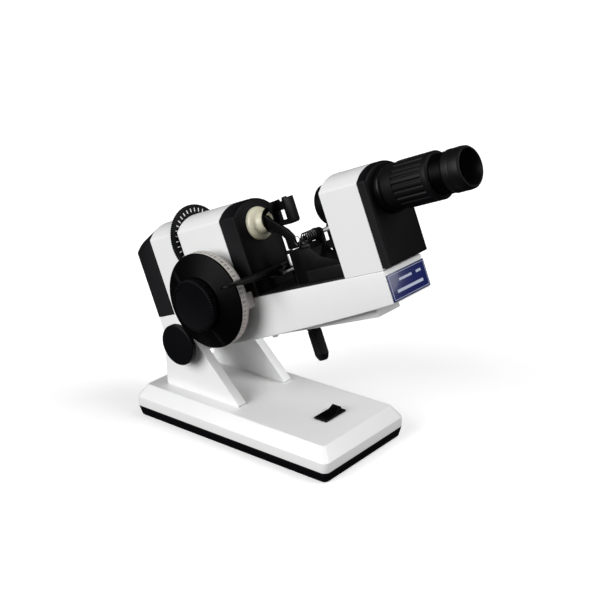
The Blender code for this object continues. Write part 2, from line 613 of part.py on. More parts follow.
def make_nose():
    optical = (0.0, AXIS_Z)
    cell = [(101.0, 13.0), (101.0, 17.0), (76.0, 17.0), (76.0, 14.3), (86.0, 14.3), (86.0, 13.0)]
    turned("collimator_cell", "X", optical, [(a * MM, r * MM) for a, r in cell], head, "black_paint", 20)
    lens = [(85.7, 0.0), (85.0, 7.0), (83.0, 14.0), (80.0, 14.0), (78.6, 7.0), (78.0, 0.0)]
    turned("collimator_lens", "X", optical, [(a * MM, r * MM) for a, r in lens], head, "glass", 20)
    cone = [(121.0, 5.0), (121.0, 7.6), (119.6, 9.4), (113.4, 10.8), (112.6, 12.8), (110.6, 15.4), (108.6, 16.15),
            (105.7, 16.15), (105.7, 12.0), (101.3, 12.0), (101.3, 9.0), (108.0, 5.0)]
    turned("nose_cone", "X", optical, [(a * MM, r * MM) for a, r in cone], head, "cream_plastic", 28)


def make_table():
    slide = empty("table_slide", (POST_X, POST_Y, 0.0), parent=head)
    half = [(x * MM, y * MM) for x, y in TABLE_HALF]
    points = half + [(x, -y) for x, y in reversed(half)]
    points = [(x - POST_X, y - POST_Y) for x, y in points]
    plate = outline("table_plate", points, TABLE_Z[0], TABLE_Z[1], "XY", slide, "black_paint")
    bevel(plate, 0.4 * MM, 1)
    # Web under each wing, deepest near the post.
    for name, side in (("near_web", -1), ("far_web", 1)):
        web = [(14, 42), (14, 48), (64, 48), (64, 46.6)]
        web = [(side * y * MM - POST_Y, z * MM) for y, z in web]
        boolean(plate, outline(name, web, 120 * MM - POST_X, 127 * MM - POST_X, "YZ", slide), "UNION")

    # The post stands in the table's notch; its shelf and rib carry the plate.
    post = [(59.2, 0.0), (59.2, 4.3), (56.6, 4.3), (56.6, 2.9), (45.0, 2.9), (45.0, 5.5), (40.6, 5.5), (40.6, 2.9),
            (5.3, 2.9), (5.3, 0.0)]
    post = turned("table_post", "Z", (0.0, 0.0), [(a * MM, r * MM) for a, r in post], slide, "steel", 20)
    shelf = box("table_shelf", (112 * MM - POST_X, -13 * MM - POST_Y, 40.0 * MM),
                (131.5 * MM - POST_X, 13 * MM - POST_Y, 41.8 * MM), slide)
    boolean(post, shelf, "UNION")
    rib = box("table_rib", (117.4 * MM - POST_X, -9 * MM - POST_Y, 41.0 * MM),
              (121.6 * MM - POST_X, 13 * MM - POST_Y, TABLE_Z[0] - GAP), slide)
    boolean(post, rib, "UNION")

    handle = [(5.0, 0.0), (5.0, 6.8), (-46.0, 6.8), (-50.5, 4.9), (-51.5, 3.9), (-51.5, 0.0)]
    turned("table_handle", "Z", (0.0, 0.0), [(a * MM, r * MM) for a, r in handle], slide, "black_plastic", 24)


def make_mechanism():
    """Bracket in front of the telescope, with the cross rod that the presser swings on."""
    deck = ARM_TOP + 1.5 * MM + GAP
    bracket = box("mech_bracket", (166 * MM, -21 * MM, deck), (213 * MM, 26 * MM, 40 * MM), head, "black_paint")
    block = [(150, deck / MM), (206, deck / MM), (206, 43), (186, 50), (176, 60), (163, 60), (163, 61), (150, 61)]
    block = [(x * MM, z * MM) for x, z in block]
    boolean(bracket, outline("spring_block", block, -18 * MM, 2 * MM, "XZ", head), "UNION")
    # Seat close under the coil.
    seat = box("spring_seat", (164 * MM, -17.5 * MM, 59 * MM), (177 * MM, -2.6 * MM, 63.9 * MM), head)
    boolean(bracket, seat, "UNION")
    side = [(167.1 * MM, 38 * MM), (186 * MM, 38 * MM), (180 * MM, 50 * MM), (177.1 * MM, 56 * MM)]
    side += arc((ROD_X, ROD_Z), 5.0 * MM, 0, 180, 8)
    for name, y in (("near_ear", 3 * MM), ("far_ear", 22 * MM)):
        boolean(bracket, outline(name, side, y, y + 4 * MM, "XZ", head), "UNION")
    # Bar between the ears, with daylight under it.
    bar = box("ear_bar", (168.5 * MM, 1.5 * MM, 51.5 * MM), (174.5 * MM, 25.5 * MM, 59 * MM), head)
    boolean(bracket, bar, "UNION")
    boolean(bracket, cylinder("rod_bore", "-Y", -30 * MM, 30 * MM, (ROD_X, ROD_Z), ROD_RADIUS + RUN,
                              head, None, 16))
    cylinder("pivot_rod", "-Y", -27 * MM, 20 * MM, (ROD_X, ROD_Z), ROD_RADIUS, head, "steel", 16)

    # The arm's plate comes down beside the marker, turns under it and rises to a hub on the rod.
    swing = empty("presser_axis", (ROD_X, 0.0, ROD_Z), parent=head)
    plate = [(126.4, 99.5), (130.7, 95.4), (149.4, 80.5), (154.3, 73.8), (154.6, 61.6), (143.4, 61.6),
             (143.4, 72.6), (141.0, 75.6), (126.4, 86.5)]
    points = [(x * MM - ROD_X, z * MM - ROD_Z) for x, z in plate]
    arm = outline("presser_arm", points, -10.2 * MM, -7.2 * MM, "XZ", swing, "black_paint")
    strap = box("arm_strap", (148 * MM - ROD_X, -10.2 * MM, 61.6 * MM - ROD_Z),
                (154.6 * MM - ROD_X, 1.8 * MM, 65.6 * MM - ROD_Z), swing)
    boolean(arm, strap, "UNION")
    link = arc((0.0, 0.0), 5.5 * MM, 120, -120, 8)
    link += [(148.5 * MM - ROD_X, 61.6 * MM - ROD_Z), (148.5 * MM - ROD_X, 65.6 * MM - ROD_Z)]
    boolean(arm, outline("arm_link", link, -1.2 * MM, 1.8 * MM, "XZ", swing), "UNION")
    boolean(arm, cylinder("arm_bore", "-Y", -5 * MM, 5 * MM, (0.0, 0.0), ROD_RADIUS + RUN, swing, None, 16))

    centre = (0.0, AXIS_Z - ROD_Z)
    ring = [(126.1, 8.5), (126.1, 12.8), (124.1, 12.8), (124.1, 8.5)]
    ring = turned("presser_ring", "X", centre, [(a * MM - ROD_X, r * MM) for a, r in ring], swing,
                  "black_paint", 28)
    for i in range(3):
        angle = math.radians(90 + 120 * i)
        spot = (10.6 * MM * math.cos(angle), centre[1] + 10.6 * MM * math.sin(angle))
        pin = cylinder(f"presser_pin_{i + 1}", "X", 121.6 * MM - ROD_X, 125 * MM - ROD_X, spot, 1.2 * MM,
                       swing, None, 8)
        boolean(ring, pin, "UNION")


def make_spring():
    """Open coil around the cross rod, one plain turn after another."""
    turns, points_per_turn = 5, 9
    radius, wire, start, length = 4.6 * MM, 0.6 * MM, -17.5 * MM, 15.0 * MM
    curve = bpy.data.curves.new("presser_spring", "CURVE")
    curve.dimensions = "3D"
    curve.bevel_depth = wire
    curve.bevel_resolution = 1
    curve.use_fill_caps = True
    spline = curve.splines.new("POLY")
    total = turns * points_per_turn
    spline.points.add(total)
    for i, point in enumerate(spline.points):
        angle = 2 * math.pi * i / points_per_turn
        point.co = (radius * math.cos(angle), start + length * i / total, radius * math.sin(angle), 1.0)
    obj = bpy.data.objects.new("presser_spring", curve)
    obj.location = (ROD_X, 0.0, ROD_Z)
    obj.parent = head
    curve.materials.append(make_material("steel"))
    PARTS.objects.link(obj)


def make_marker():
    """Pen holder behind the presser ring: a notched block with a window and three pens towards the nose."""
    slide = empty("marker_slide", (0.0, 0.0, AXIS_Z), parent=head)
    top = [(133.5, 104.0), (133.5, 108.6), (138.0, 109.0), (139.0, 106.4), (142.4, 106.6), (143.6, 110.0),
           (147.6, 110.2), (149.0, 108.4), (152.6, 108.4), (156.2, 109.6)]
    base = [(156.2, 86.4), (154.4, 84.6), (139.0, 84.8), (133.5, 88.6)]
    points = [(x * MM, z * MM - AXIS_Z) for x, z in top + base]
    block = outline("marker_head", points, -6.9 * MM, 4.4 * MM, "XZ", slide, "black_paint")
    # Hollowed from the near side, so that the window goes through a thin web.
    pocket = box("marker_pocket", (135.6 * MM, -10 * MM, -3.6 * MM), (153.0 * MM, 2.0 * MM, 22.0 * MM), slide)
    boolean(block, pocket)
    boolean(block, box("marker_window", (135.9 * MM, -5 * MM, -3.2 * MM), (142.4 * MM, 10 * MM, 6.2 * MM), slide))
    for i, z in enumerate((-5.0, 0.0, 5.0), 1):
        pen = cylinder(f"marker_pen_{i}", "X", 128.0 * MM, 135.3 * MM, (-1.0 * MM, z * MM), 1.5 * MM,
                       slide, None, 12)
        boolean(block, pen, "UNION")


# ---------------------------------------------------------------- telescope and eyepiece

def make_telescope():
    optical = (0.0, AXIS_Z)
    barrel = [(222.0, 13.5), (222.0, 16.0), (TELE_REAR / MM - 0.3, 16.0), (TELE_REAR / MM - 0.3, 18.65),
              (198.5, 18.65), (197.7, 17.9), (197.7, 15.5), (204.6, 15.5), (204.6, 13.5)]
    turned("objective_barrel", "X", optical, [(a * MM, r * MM) for a, r in barrel], head, "black_paint", 28)
    lens = [(204.3, 0.0), (203.6, 8.0), (202.4, 15.2), (200.6, 15.2), (199.0, 8.0), (198.4, 0.0)]
    turned("objective_lens", "X", optical, [(a * MM, r * MM) for a, r in lens], head, "glass", 20)

    flange = [(276.8, 18.3), (276.8, 21.2), (275.9, 22.1), (270.2, 22.1), (270.2, 18.3)]
    turned("eyepiece_flange", "X", optical, [(a * MM, r * MM) for a, r in flange], head, "black_paint", 28)

    focus = empty("focus_axis", (0.0, 0.0, AXIS_Z), parent=head)
    bore = TUBE_RADIUS / MM + 0.15
    ring = [(327.0, bore), (327.0, 20.0), (325.8, 21.0), (288.0, 21.0), (287.0, 20.2), (277.1, 20.2),
            (277.1, bore)]
    turned("focus_ring", "X", (0.0, 0.0), [(a * MM, r * MM) for a, r in ring], focus, "rubber", 28)
    tube = [(338.7 * MM, TUBE_BORE), (338.7 * MM, TUBE_RADIUS), (268 * MM, TUBE_RADIUS), (268 * MM, TUBE_BORE)]
    turned("eyepiece_tube", "X", (0.0, 0.0), tube, focus, "black_paint", 28)
    lens = [(336.0, 0.0), (335.0, 8.0), (333.0, 15.2), (330.5, 15.2), (330.0, 0.0)]
    turned("eye_lens", "X", (0.0, 0.0), [(a * MM, r * MM) for a, r in lens], focus, "glass", 20)
    cup = [(357.7, 14.6), (357.7, 17.0), (356.4, 18.3), (353.0, 18.6), (341.0, 18.6), (339.0, 18.2), (339.0, 15.0),
           (343.0, 13.5)]
    turned("eyecup", "X", (0.0, 0.0), [(a * MM, r * MM) for a, r in cup], focus, "rubber", 28)


make_base()
make_inlet()
make_switch()
make_cheeks()
make_axle()
make_arm()
make_rear_housing()
make_telescope_housing()
make_lamp()
make_axis_wheel()
make_power_drum()
make_nose()
make_table()
make_mechanism()
make_spring()
make_marker()
make_telescope()
bpy.context.view_layer.update()
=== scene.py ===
"""Looks of the lensmeter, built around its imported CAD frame.

Lengths are in millimetres in two local frames and are turned into metres when a mesh is made: STAND
is centred under the base, and HEAD has its origin on the tilt axle, X along the arm and Z square to it.
"""
import json
import math

import bmesh
import bpy
from mathutils import Matrix, Vector


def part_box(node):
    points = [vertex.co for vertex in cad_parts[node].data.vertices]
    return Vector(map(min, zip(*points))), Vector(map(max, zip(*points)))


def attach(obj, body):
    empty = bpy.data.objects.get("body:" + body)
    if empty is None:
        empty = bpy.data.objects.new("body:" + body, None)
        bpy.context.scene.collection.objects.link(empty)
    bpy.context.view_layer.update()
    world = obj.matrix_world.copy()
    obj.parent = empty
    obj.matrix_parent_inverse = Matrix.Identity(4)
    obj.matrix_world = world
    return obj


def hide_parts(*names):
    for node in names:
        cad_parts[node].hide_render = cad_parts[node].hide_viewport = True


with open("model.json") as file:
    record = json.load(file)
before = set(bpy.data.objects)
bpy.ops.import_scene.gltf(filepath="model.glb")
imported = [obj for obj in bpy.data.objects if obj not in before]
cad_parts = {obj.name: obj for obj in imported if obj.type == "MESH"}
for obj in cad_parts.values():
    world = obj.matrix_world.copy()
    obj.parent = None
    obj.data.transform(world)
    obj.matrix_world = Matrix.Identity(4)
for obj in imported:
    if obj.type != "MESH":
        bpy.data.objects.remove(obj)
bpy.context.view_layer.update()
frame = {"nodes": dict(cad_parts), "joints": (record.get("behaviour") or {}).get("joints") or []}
JOINT = {j["name"]: j for j in frame["joints"]}
MM = 0.001

PIVOT = Vector(JOINT["head_tilt"]["pos_m"])
ARM_X = Vector(JOINT["focus_turn"]["axis"]).normalized()
ARM_Z = Vector(JOINT["table_lift"]["axis"]).normalized()
HEAD = Matrix.Identity(4)
HEAD.col[0][0:3] = ARM_X
HEAD.col[2][0:3] = ARM_Z
HEAD.translation = PIVOT
BASE_LOW, BASE_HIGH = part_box("base_cover")
STAND = Matrix.Translation(((BASE_LOW.x + BASE_HIGH.x) / 2, 0.0, 0.0))

AXIS_Z = 92.2                # optical axis above the arm's axle
HALF_WIDTH = 28.65           # of the arm and its housings
HOUSING_BOTTOM = 27.3
BACK_START, BACK_END = -19.5, -45.2      # rear cover, front edge to rear face
ARCH_CORNER, ARCH_TOP = 105.9, 117.4     # heights of the housings' shoulders and ridge
DRUM_X, DRUM_Z = 59.3, 37.5
ROD_X, ROD_Z = 172.1, 69.5   # cross rod that the presser turns on
POST_X, POST_Y = 126.0, 8.0  # post of the spectacle table
ON_AXIS = (0.0, AXIS_Z)
AT_DRUM, AT_ROD, AT_POST = (DRUM_X, DRUM_Z), (ROD_X, ROD_Z), (POST_X, POST_Y)

BASE_SIZE, BASE_CORNER = (250.0, 125.3), 6.0
INLET = (30.0, 17.4)         # y and z of the power inlet
CHEEK_BACK, CHEEK_TOP, CHEEK_FOOT = -99.8, 75.0, 35.4
CHEEK_RADIUS = 17.0          # round of the cheek about the axle
CHEEK_FRONT_SUM = 36.5       # x + z all along the cheek's sloping front edge
SWITCH_X, SWITCH_Y = 80.8, 0.8
SCALE_RADIUS = 47.25         # of the drum's scale ring


# ------------------------------------------------------------------ materials

SCUFF_COLOUR = (0.24, 0.24, 0.25)


def node(tree, kind, **inputs):
    made = tree.nodes.new(kind)
    for name, value in inputs.items():
        made.inputs[name.replace("_", " ")].default_value = value
    return made


def overlay(tree, under, mask, band, strength, colour):
    """Lays a colour over another one where the mask rises through the band."""
    link = tree.links.new
    ramp = tree.nodes.new("ShaderNodeValToRGB")
    for element, position in zip(ramp.color_ramp.elements, band):
        element.position = position
    link(mask, ramp.inputs["Fac"])
    amount = node(tree, "ShaderNodeMath")
    amount.operation = "MULTIPLY"
    amount.inputs[1].default_value = strength
    link(ramp.outputs["Color"], amount.inputs[0])
    mix = tree.nodes.new("ShaderNodeMixRGB")
    mix.inputs["Color2"].default_value = [*colour, 1.0]
    link(amount.outputs["Value"], mix.inputs["Fac"])
    link(under, mix.inputs["Color1"])
    return mix.outputs["Color"]


def finish(name, colour, rough, rough_vary=0.06, metallic=0.0, coat=0.0, grain=900.0, bump=0.02, tone=0.03,
           scuff=0.0, stretch=None, speckle=0.0, specular=0.5, transmission=0.0, ior=1.5, subsurface=0.0):
    """Procedural surface: slow tone changes, uneven gloss, fine bump grain, paler raised edges."""
    mat = bpy.data.materials.new(name)
    mat.use_nodes = True
    tree = mat.node_tree
    shader = tree.nodes["Principled BSDF"]
    shader.inputs["Metallic"].default_value = metallic
    shader.inputs["Specular IOR Level"].default_value = specular
    shader.inputs["IOR"].default_value = ior
    shader.inputs["Transmission Weight"].default_value = transmission
    shader.inputs["Coat Weight"].default_value = coat
    shader.inputs["Coat Roughness"].default_value = 0.08
    if subsurface:
        shader.inputs["Subsurface Weight"].default_value = subsurface
        shader.inputs["Subsurface Scale"].default_value = 0.004
        shader.inputs["Subsurface Radius"].default_value = (1.0, 0.8, 0.5)
    link = tree.links.new
    coords = tree.nodes.new("ShaderNodeTexCoord")
    place = tree.nodes.new("ShaderNodeMapping")
    link(coords.outputs["Object"], place.inputs["Vector"])
    if stretch:
        place.inputs["Scale"].default_value = stretch
    slow = node(tree, "ShaderNodeTexNoise", Scale=14.0, Detail=5.0, Roughness=0.55)
    link(coords.outputs["Object"], slow.inputs["Vector"])
    fine = node(tree, "ShaderNodeTexNoise", Scale=grain, Detail=3.0, Roughness=0.6)
    link(place.outputs["Vector"], fine.inputs["Vector"])
    smear = node(tree, "ShaderNodeTexNoise", Scale=55.0, Detail=6.0, Roughness=0.7)
    link(coords.outputs["Object"], smear.inputs["Vector"])

    ramp = tree.nodes.new("ShaderNodeValToRGB")
    ramp.color_ramp.elements[0].position = 0.30
    ramp.color_ramp.elements[1].position = 0.70
    ramp.color_ramp.elements[0].color = [max(0.0, c * (1 - tone)) for c in colour] + [1.0]
    ramp.color_ramp.elements[1].color = [min(1.0, c * (1 + tone)) for c in colour] + [1.0]
    link(slow.outputs["Fac"], ramp.inputs["Fac"])
    out = ramp.outputs["Color"]
    if speckle:
        spots = node(tree, "ShaderNodeTexNoise", Scale=2600.0, Detail=1.0)
        link(coords.outputs["Object"], spots.inputs["Vector"])
        out = overlay(tree, out, spots.outputs["Fac"], (0.62, 0.70), speckle,
                      [min(1.0, c * 2.5 + 0.03) for c in colour])
    if scuff:
        edge = tree.nodes.new("ShaderNodeNewGeometry")
        out = overlay(tree, out, edge.outputs["Pointiness"], (0.53, 0.60), scuff, SCUFF_COLOUR)
    link(out, shader.inputs["Base Color"])

    gloss = node(tree, "ShaderNodeMapRange")
    gloss.inputs["To Min"].default_value = max(0.02, rough - rough_vary)
    gloss.inputs["To Max"].default_value = min(1.0, rough + rough_vary)
    link(smear.outputs["Fac"], gloss.inputs["Value"])
    link(gloss.outputs["Result"], shader.inputs["Roughness"])
    relief = node(tree, "ShaderNodeBump", Strength=bump * 10, Distance=0.0001)
    link(fine.outputs["Fac"], relief.inputs["Height"])
    link(relief.outputs["Normal"], shader.inputs["Normal"])
    return mat


MAT = {
    "white_paint": finish("white_paint", (0.80, 0.805, 0.80), 0.34, 0.05, grain=700, bump=0.012, tone=0.012,
                          coat=0.15),
    "black_plastic": finish("black_plastic", (0.002, 0.002, 0.0028), 0.44, 0.07, grain=1600, bump=0.045,
                            tone=0.15, scuff=0.04, specular=0.10),
    "black_gloss": finish("black_gloss", (0.0010, 0.0008, 0.0010), 0.42, 0.06, grain=900, bump=0.015,
                          tone=0.15,
                          scuff=0.03, specular=0.05),
    "black_paint": finish("black_paint", (0.0016, 0.0016, 0.002), 0.36, 0.08, grain=1300, bump=0.035,
                          tone=0.2,
                          scuff=0.08, specular=0.13),
    "rubber": finish("rubber", (0.003, 0.003, 0.0034), 0.46, 0.08, grain=1500, bump=0.05, tone=0.2,
                     scuff=0.05,
                     speckle=0.10, specular=0.20),
    "steel": finish("steel", (0.62, 0.62, 0.63), 0.30, 0.08, metallic=1.0, grain=500, bump=0.03, tone=0.06,
                    stretch=(1.0, 1.0, 12.0)),
    # Paler, less metallic steel; on the table's front strip and the cross rod's far stretch it is painted
    # highlight.
    "bright_steel": finish("bright_steel", (0.80, 0.80, 0.81), 0.40, 0.08, metallic=0.7, grain=500,
                           bump=0.02,
                           tone=0.04),
    "dark_steel": finish("dark_steel", (0.10, 0.10, 0.105), 0.30, 0.08, metallic=1.0, grain=500, bump=0.03,
                         tone=0.1),
    "brass": finish("brass", (0.66, 0.48, 0.20), 0.30, 0.10, metallic=1.0, grain=600, bump=0.03, tone=0.1),
    "cream_plastic": finish("cream_plastic", (0.60, 0.575, 0.44), 0.38, 0.05, grain=1200, bump=0.02,
                            tone=0.02,
                            subsurface=0.12),
    "scale_white": finish("scale_white", (0.56, 0.53, 0.50), 0.46, 0.06, grain=1500, bump=0.02, tone=0.05),
    "blue_plate": finish("blue_plate", (0.007, 0.013, 0.105), 0.30, 0.06, grain=1600, bump=0.03, tone=0.12,
                         coat=0.3, speckle=0.10),
    "glass": finish("glass", (0.82, 0.90, 0.92), 0.05, 0.02, grain=300, bump=0.002, tone=0.01,
                    transmission=0.9, ior=1.52),
    "ink": finish("ink", (0.02, 0.02, 0.022), 0.5, 0.05, tone=0.1),
    "red_ink": finish("red_ink", (0.26, 0.03, 0.035), 0.5, 0.05, tone=0.1),
    "white_ink": finish("white_ink", (0.78, 0.78, 0.76), 0.45, 0.06, tone=0.04),
    "pale_ink": finish("pale_ink", (0.50, 0.55, 0.68), 0.35, 0.06, tone=0.04),
}


# ------------------------------------------------------------------ mesh helpers

def settle(obj, mat, body, nodes=(), angle=32.0):
    """Shading, material, body, and the CAD nodes that the piece stands for."""
    obj.data.transform(obj.matrix_world)
    obj.matrix_world = Matrix.Identity(4)
    obj.data.materials.clear()
    obj.data.materials.append(MAT[mat])
    obj.data.shade_smooth()
    obj.data.set_sharp_from_angle(angle=math.radians(angle))
    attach(obj, body)
    if nodes:
        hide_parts(*nodes)
    return obj


def put(bm, name, place):
    """Turns a millimetre bmesh into an object placed by one of the two frames."""
    bmesh.ops.recalc_face_normals(bm, faces=bm.faces)
    bmesh.ops.scale(bm, vec=(MM, MM, MM), verts=bm.verts)
    mesh = bpy.data.meshes.new(name)
    bm.to_mesh(mesh)
    bm.free()
    obj = bpy.data.objects.new(name, mesh)
    obj.matrix_world = place
    bpy.context.scene.collection.objects.link(obj)
    return obj


def apply(obj):
    """Makes the modifiers permanent and drops them."""
    graph = bpy.context.evaluated_depsgraph_get()
    graph.update()
    mesh = bpy.data.meshes.new_from_object(obj.evaluated_get(graph))
    obj.modifiers.clear()
    old = obj.data
    obj.data = mesh
    bpy.data.meshes.remove(old)
    return obj


def bevel(obj, width, segments=3, angle=30.0):
    mod = obj.modifiers.new("edges", "BEVEL")
    mod.width = width * MM
    mod.segments = segments
    mod.limit_method = "ANGLE"
    mod.angle_limit = math.radians(angle)
    return apply(obj)


def join_cut(obj, other, operation="DIFFERENCE"):
    mod = obj.modifiers.new("cut", "BOOLEAN")
    mod.operation = operation
    mod.solver = "EXACT"
    mod.object = other
    apply(obj)
    bpy.data.objects.remove(other, do_unlink=True)
    return obj


def facing(axis, across):
    """Matrix whose local Z points along the named axis, at the given cross position."""
    if axis == "X":
        turn = Matrix(((0, 0, 1), (1, 0, 0), (0, 1, 0))).to_4x4()
        spot = (0.0, across[0], across[1])
    elif axis == "-Y":
        turn = Matrix(((1, 0, 0), (0, 0, -1), (0, 1, 0))).to_4x4()
        spot = (across[0], 0.0, across[1])
    else:
        turn = Matrix.Identity(4)
        spot = (across[0], across[1], 0.0)
    return Matrix.Translation(Vector(spot) * MM) @ turn


def fillet(points, radius, steps=3, closed=True):
    """Rounds each corner of a profile by up to the given radius."""
    out = []
    count = len(points)
    for i, point in enumerate(points):
        if not closed and i in (0, count - 1):
            out.append(point)
            continue
        p = Vector(point)
        a, b = Vector(points[i - 1]) - p, Vector(points[(i + 1) % count]) - p
        if a.length < 1e-6 or b.length < 1e-6:
            out.append(point)
            continue
        turn = a.angle(b)
        if turn > math.radians(172):
            out.append(point)
            continue
        size = min(radius / math.tan(turn / 2), a.length * 0.45, b.length * 0.45)
        start, end = p + a.normalized() * size, p + b.normalized() * size
        for k in range(steps + 1):
            t = k / steps
            out.append(tuple((1 - t) ** 2 * start + 2 * t * (1 - t) * p + t ** 2 * end))
    return out


def lathe(name, place, axis, across, profile, sides=96, radius=0.3, shape=None, steps=3):
    """Turned body from (distance along the axis, radius) points.

    The profile closes on itself unless it starts and ends on the axis. shape(angle, along, radius)
    gives another radius where the rim isn't round.
    """
    solid = profile[0][1] == 0.0 and profile[-1][1] == 0.0
    points = fillet(profile, radius, steps, closed=not solid)
    bm = bmesh.new()
    rings = []
    for along, r in points:
        if r < 1e-6:
            rings.append([bm.verts.new((0.0, 0.0, along))])
            continue
        ring = []
        for k in range(sides):
            angle = 2 * math.pi * k / sides
            length = shape(angle, along, r) if shape else r
            ring.append(bm.verts.new((length * math.cos(angle), length * math.sin(angle), along)))
        rings.append(ring)
    pairs = list(zip(rings, rings[1:]))
    if not solid:
        pairs.append((rings[-1], rings[0]))
    for a, b in pairs:
        for k in range(sides):
            n = (k + 1) % sides
            loop = [a[k % len(a)], a[n % len(a)], b[n % len(b)], b[k % len(b)]]
            unique = []
            for vert in loop:
                if vert not in unique:
                    unique.append(vert)
            if len(unique) > 2:
                bm.faces.new(unique)
    return put(bm, name, place @ facing(axis, across))


def prism(name, place, points, start, end, plane):
    """Outline extruded from start to end. Plane XZ is extruded along Y, YZ along X, XY along Z."""
    bm = bmesh.new()

    def at(u, v, w):
        return {"XZ": (u, w, v), "YZ": (w, u, v), "XY": (u, v, w)}[plane]

    low = [bm.verts.new(at(u, v, start)) for u, v in points]
    high = [bm.verts.new(at(u, v, end)) for u, v in points]
    bm.faces.new(low)
    bm.faces.new(list(reversed(high)))
    for i in range(len(points)):
        n = (i + 1) % len(points)
        bm.faces.new((low[i], low[n], high[n], high[i]))
    return put(bm, name, place)


def block(name, place, low, high):
    return prism(name, place, [(low[0], low[1]), (high[0], low[1]), (high[0], high[1]), (low[0], high[1])],
                 low[2], high[2], "XY")


def skin(bm, rings):
    """Walls between neighbouring rings, and a face over each end."""
    for a, b in zip(rings, rings[1:]):
        for k in range(len(a)):
            n = (k + 1) % len(a)
            bm.faces.new((a[k], a[n], b[n], b[k]))
    bm.faces.new(rings[0])
    bm.faces.new(list(reversed(rings[-1])))


def rod(name, place, points, radius, sides=12):
    """Round wire through 3-D points, with its frame carried along the path."""
    pts = [Vector(p) for p in points]
    bm = bmesh.new()
    rings = []
    up = Vector((0.0, 0.0, 1.0))
    if abs((pts[1] - pts[0]).normalized().dot(up)) > 0.9:
        up = Vector((1.0, 0.0, 0.0))
    for i, p in enumerate(pts):
        ahead = pts[min(i + 1, len(pts) - 1)] - pts[max(i - 1, 0)]
        ahead.normalize()
        side = ahead.cross(up).normalized()
        up = side.cross(ahead).normalized()
        rings.append([bm.verts.new(p + radius * (side * math.cos(a) + up * math.sin(a)))
                      for a in (2 * math.pi * k / sides for k in range(sides))])
    skin(bm, rings)
    return put(bm, name, place)


def merge(name, objs):
    """Joins loose solids of one piece into one mesh."""
    bm = bmesh.new()
    place = objs[0].matrix_world.copy()
    back = place.inverted()
    for obj in objs:
        mesh = obj.data.copy()
        mesh.transform(back @ obj.matrix_world)
        bm.from_mesh(mesh)
        bpy.data.meshes.remove(mesh)
    mesh = bpy.data.meshes.new(name)
    bm.to_mesh(mesh)
    bm.free()
    for obj in objs:
        bpy.data.objects.remove(obj, do_unlink=True)
    out = bpy.data.objects.new(name, mesh)
    out.matrix_world = place
    bpy.context.scene.collection.objects.link(out)
    return out


def arc(centre, radius, start, end, steps):
    out = []
    for i in range(steps + 1):
        a = math.radians(start + (end - start) * i / steps)
        out.append((centre[0] + radius * math.cos(a), centre[1] + radius * math.sin(a)))
    return out


# ------------------------------------------------------------------ stand

def slab(name, place, size, corner, profile, steps=6):
    """Rounded rectangle lofted through (height, inset) stations."""
    bm = bmesh.new()
    rings = []
    for z, inset in profile:
        half_x, half_y = size[0] / 2 - inset, size[1] / 2 - inset
        r = max(1.0, corner - inset * 0.35)
        ring = []
        for sx, sy, turn in ((1, 1, 0), (-1, 1, 90), (-1, -1, 180), (1, -1, 270)):
            ring += arc((sx * (half_x - r), sy * (half_y - r)), r, turn, turn + 90, steps)
        rings.append([bm.verts.new((x, y, z)) for x, y in ring])
    skin(bm, rings)
    return put(bm, name, place)


def screw_head(name, place, axis, across, at, radius, height, sign=1):
    """Pan head with a cross recess; sign tells which way it faces along the axis."""
    top = at + sign * height
    profile = [(top, 0.0), (top, radius * 0.55), (at + sign * height * 0.55, radius), (at, radius),
               (at, 0.0)]
    head = lathe(name, place, axis, across, profile, 32, radius * 0.2)
    for k in range(2):
        long, thin = radius * 0.62, radius * 0.14
        size = (long, thin) if k else (thin, long)
        ends = sorted((top + sign * height * 0.3, top - sign * height * 0.5))
        bar = block("bar", place @ facing(axis, across), (-size[0], -size[1], ends[0]),
                    (size[0], size[1], ends[1]))
        join_cut(head, bar)
    return head


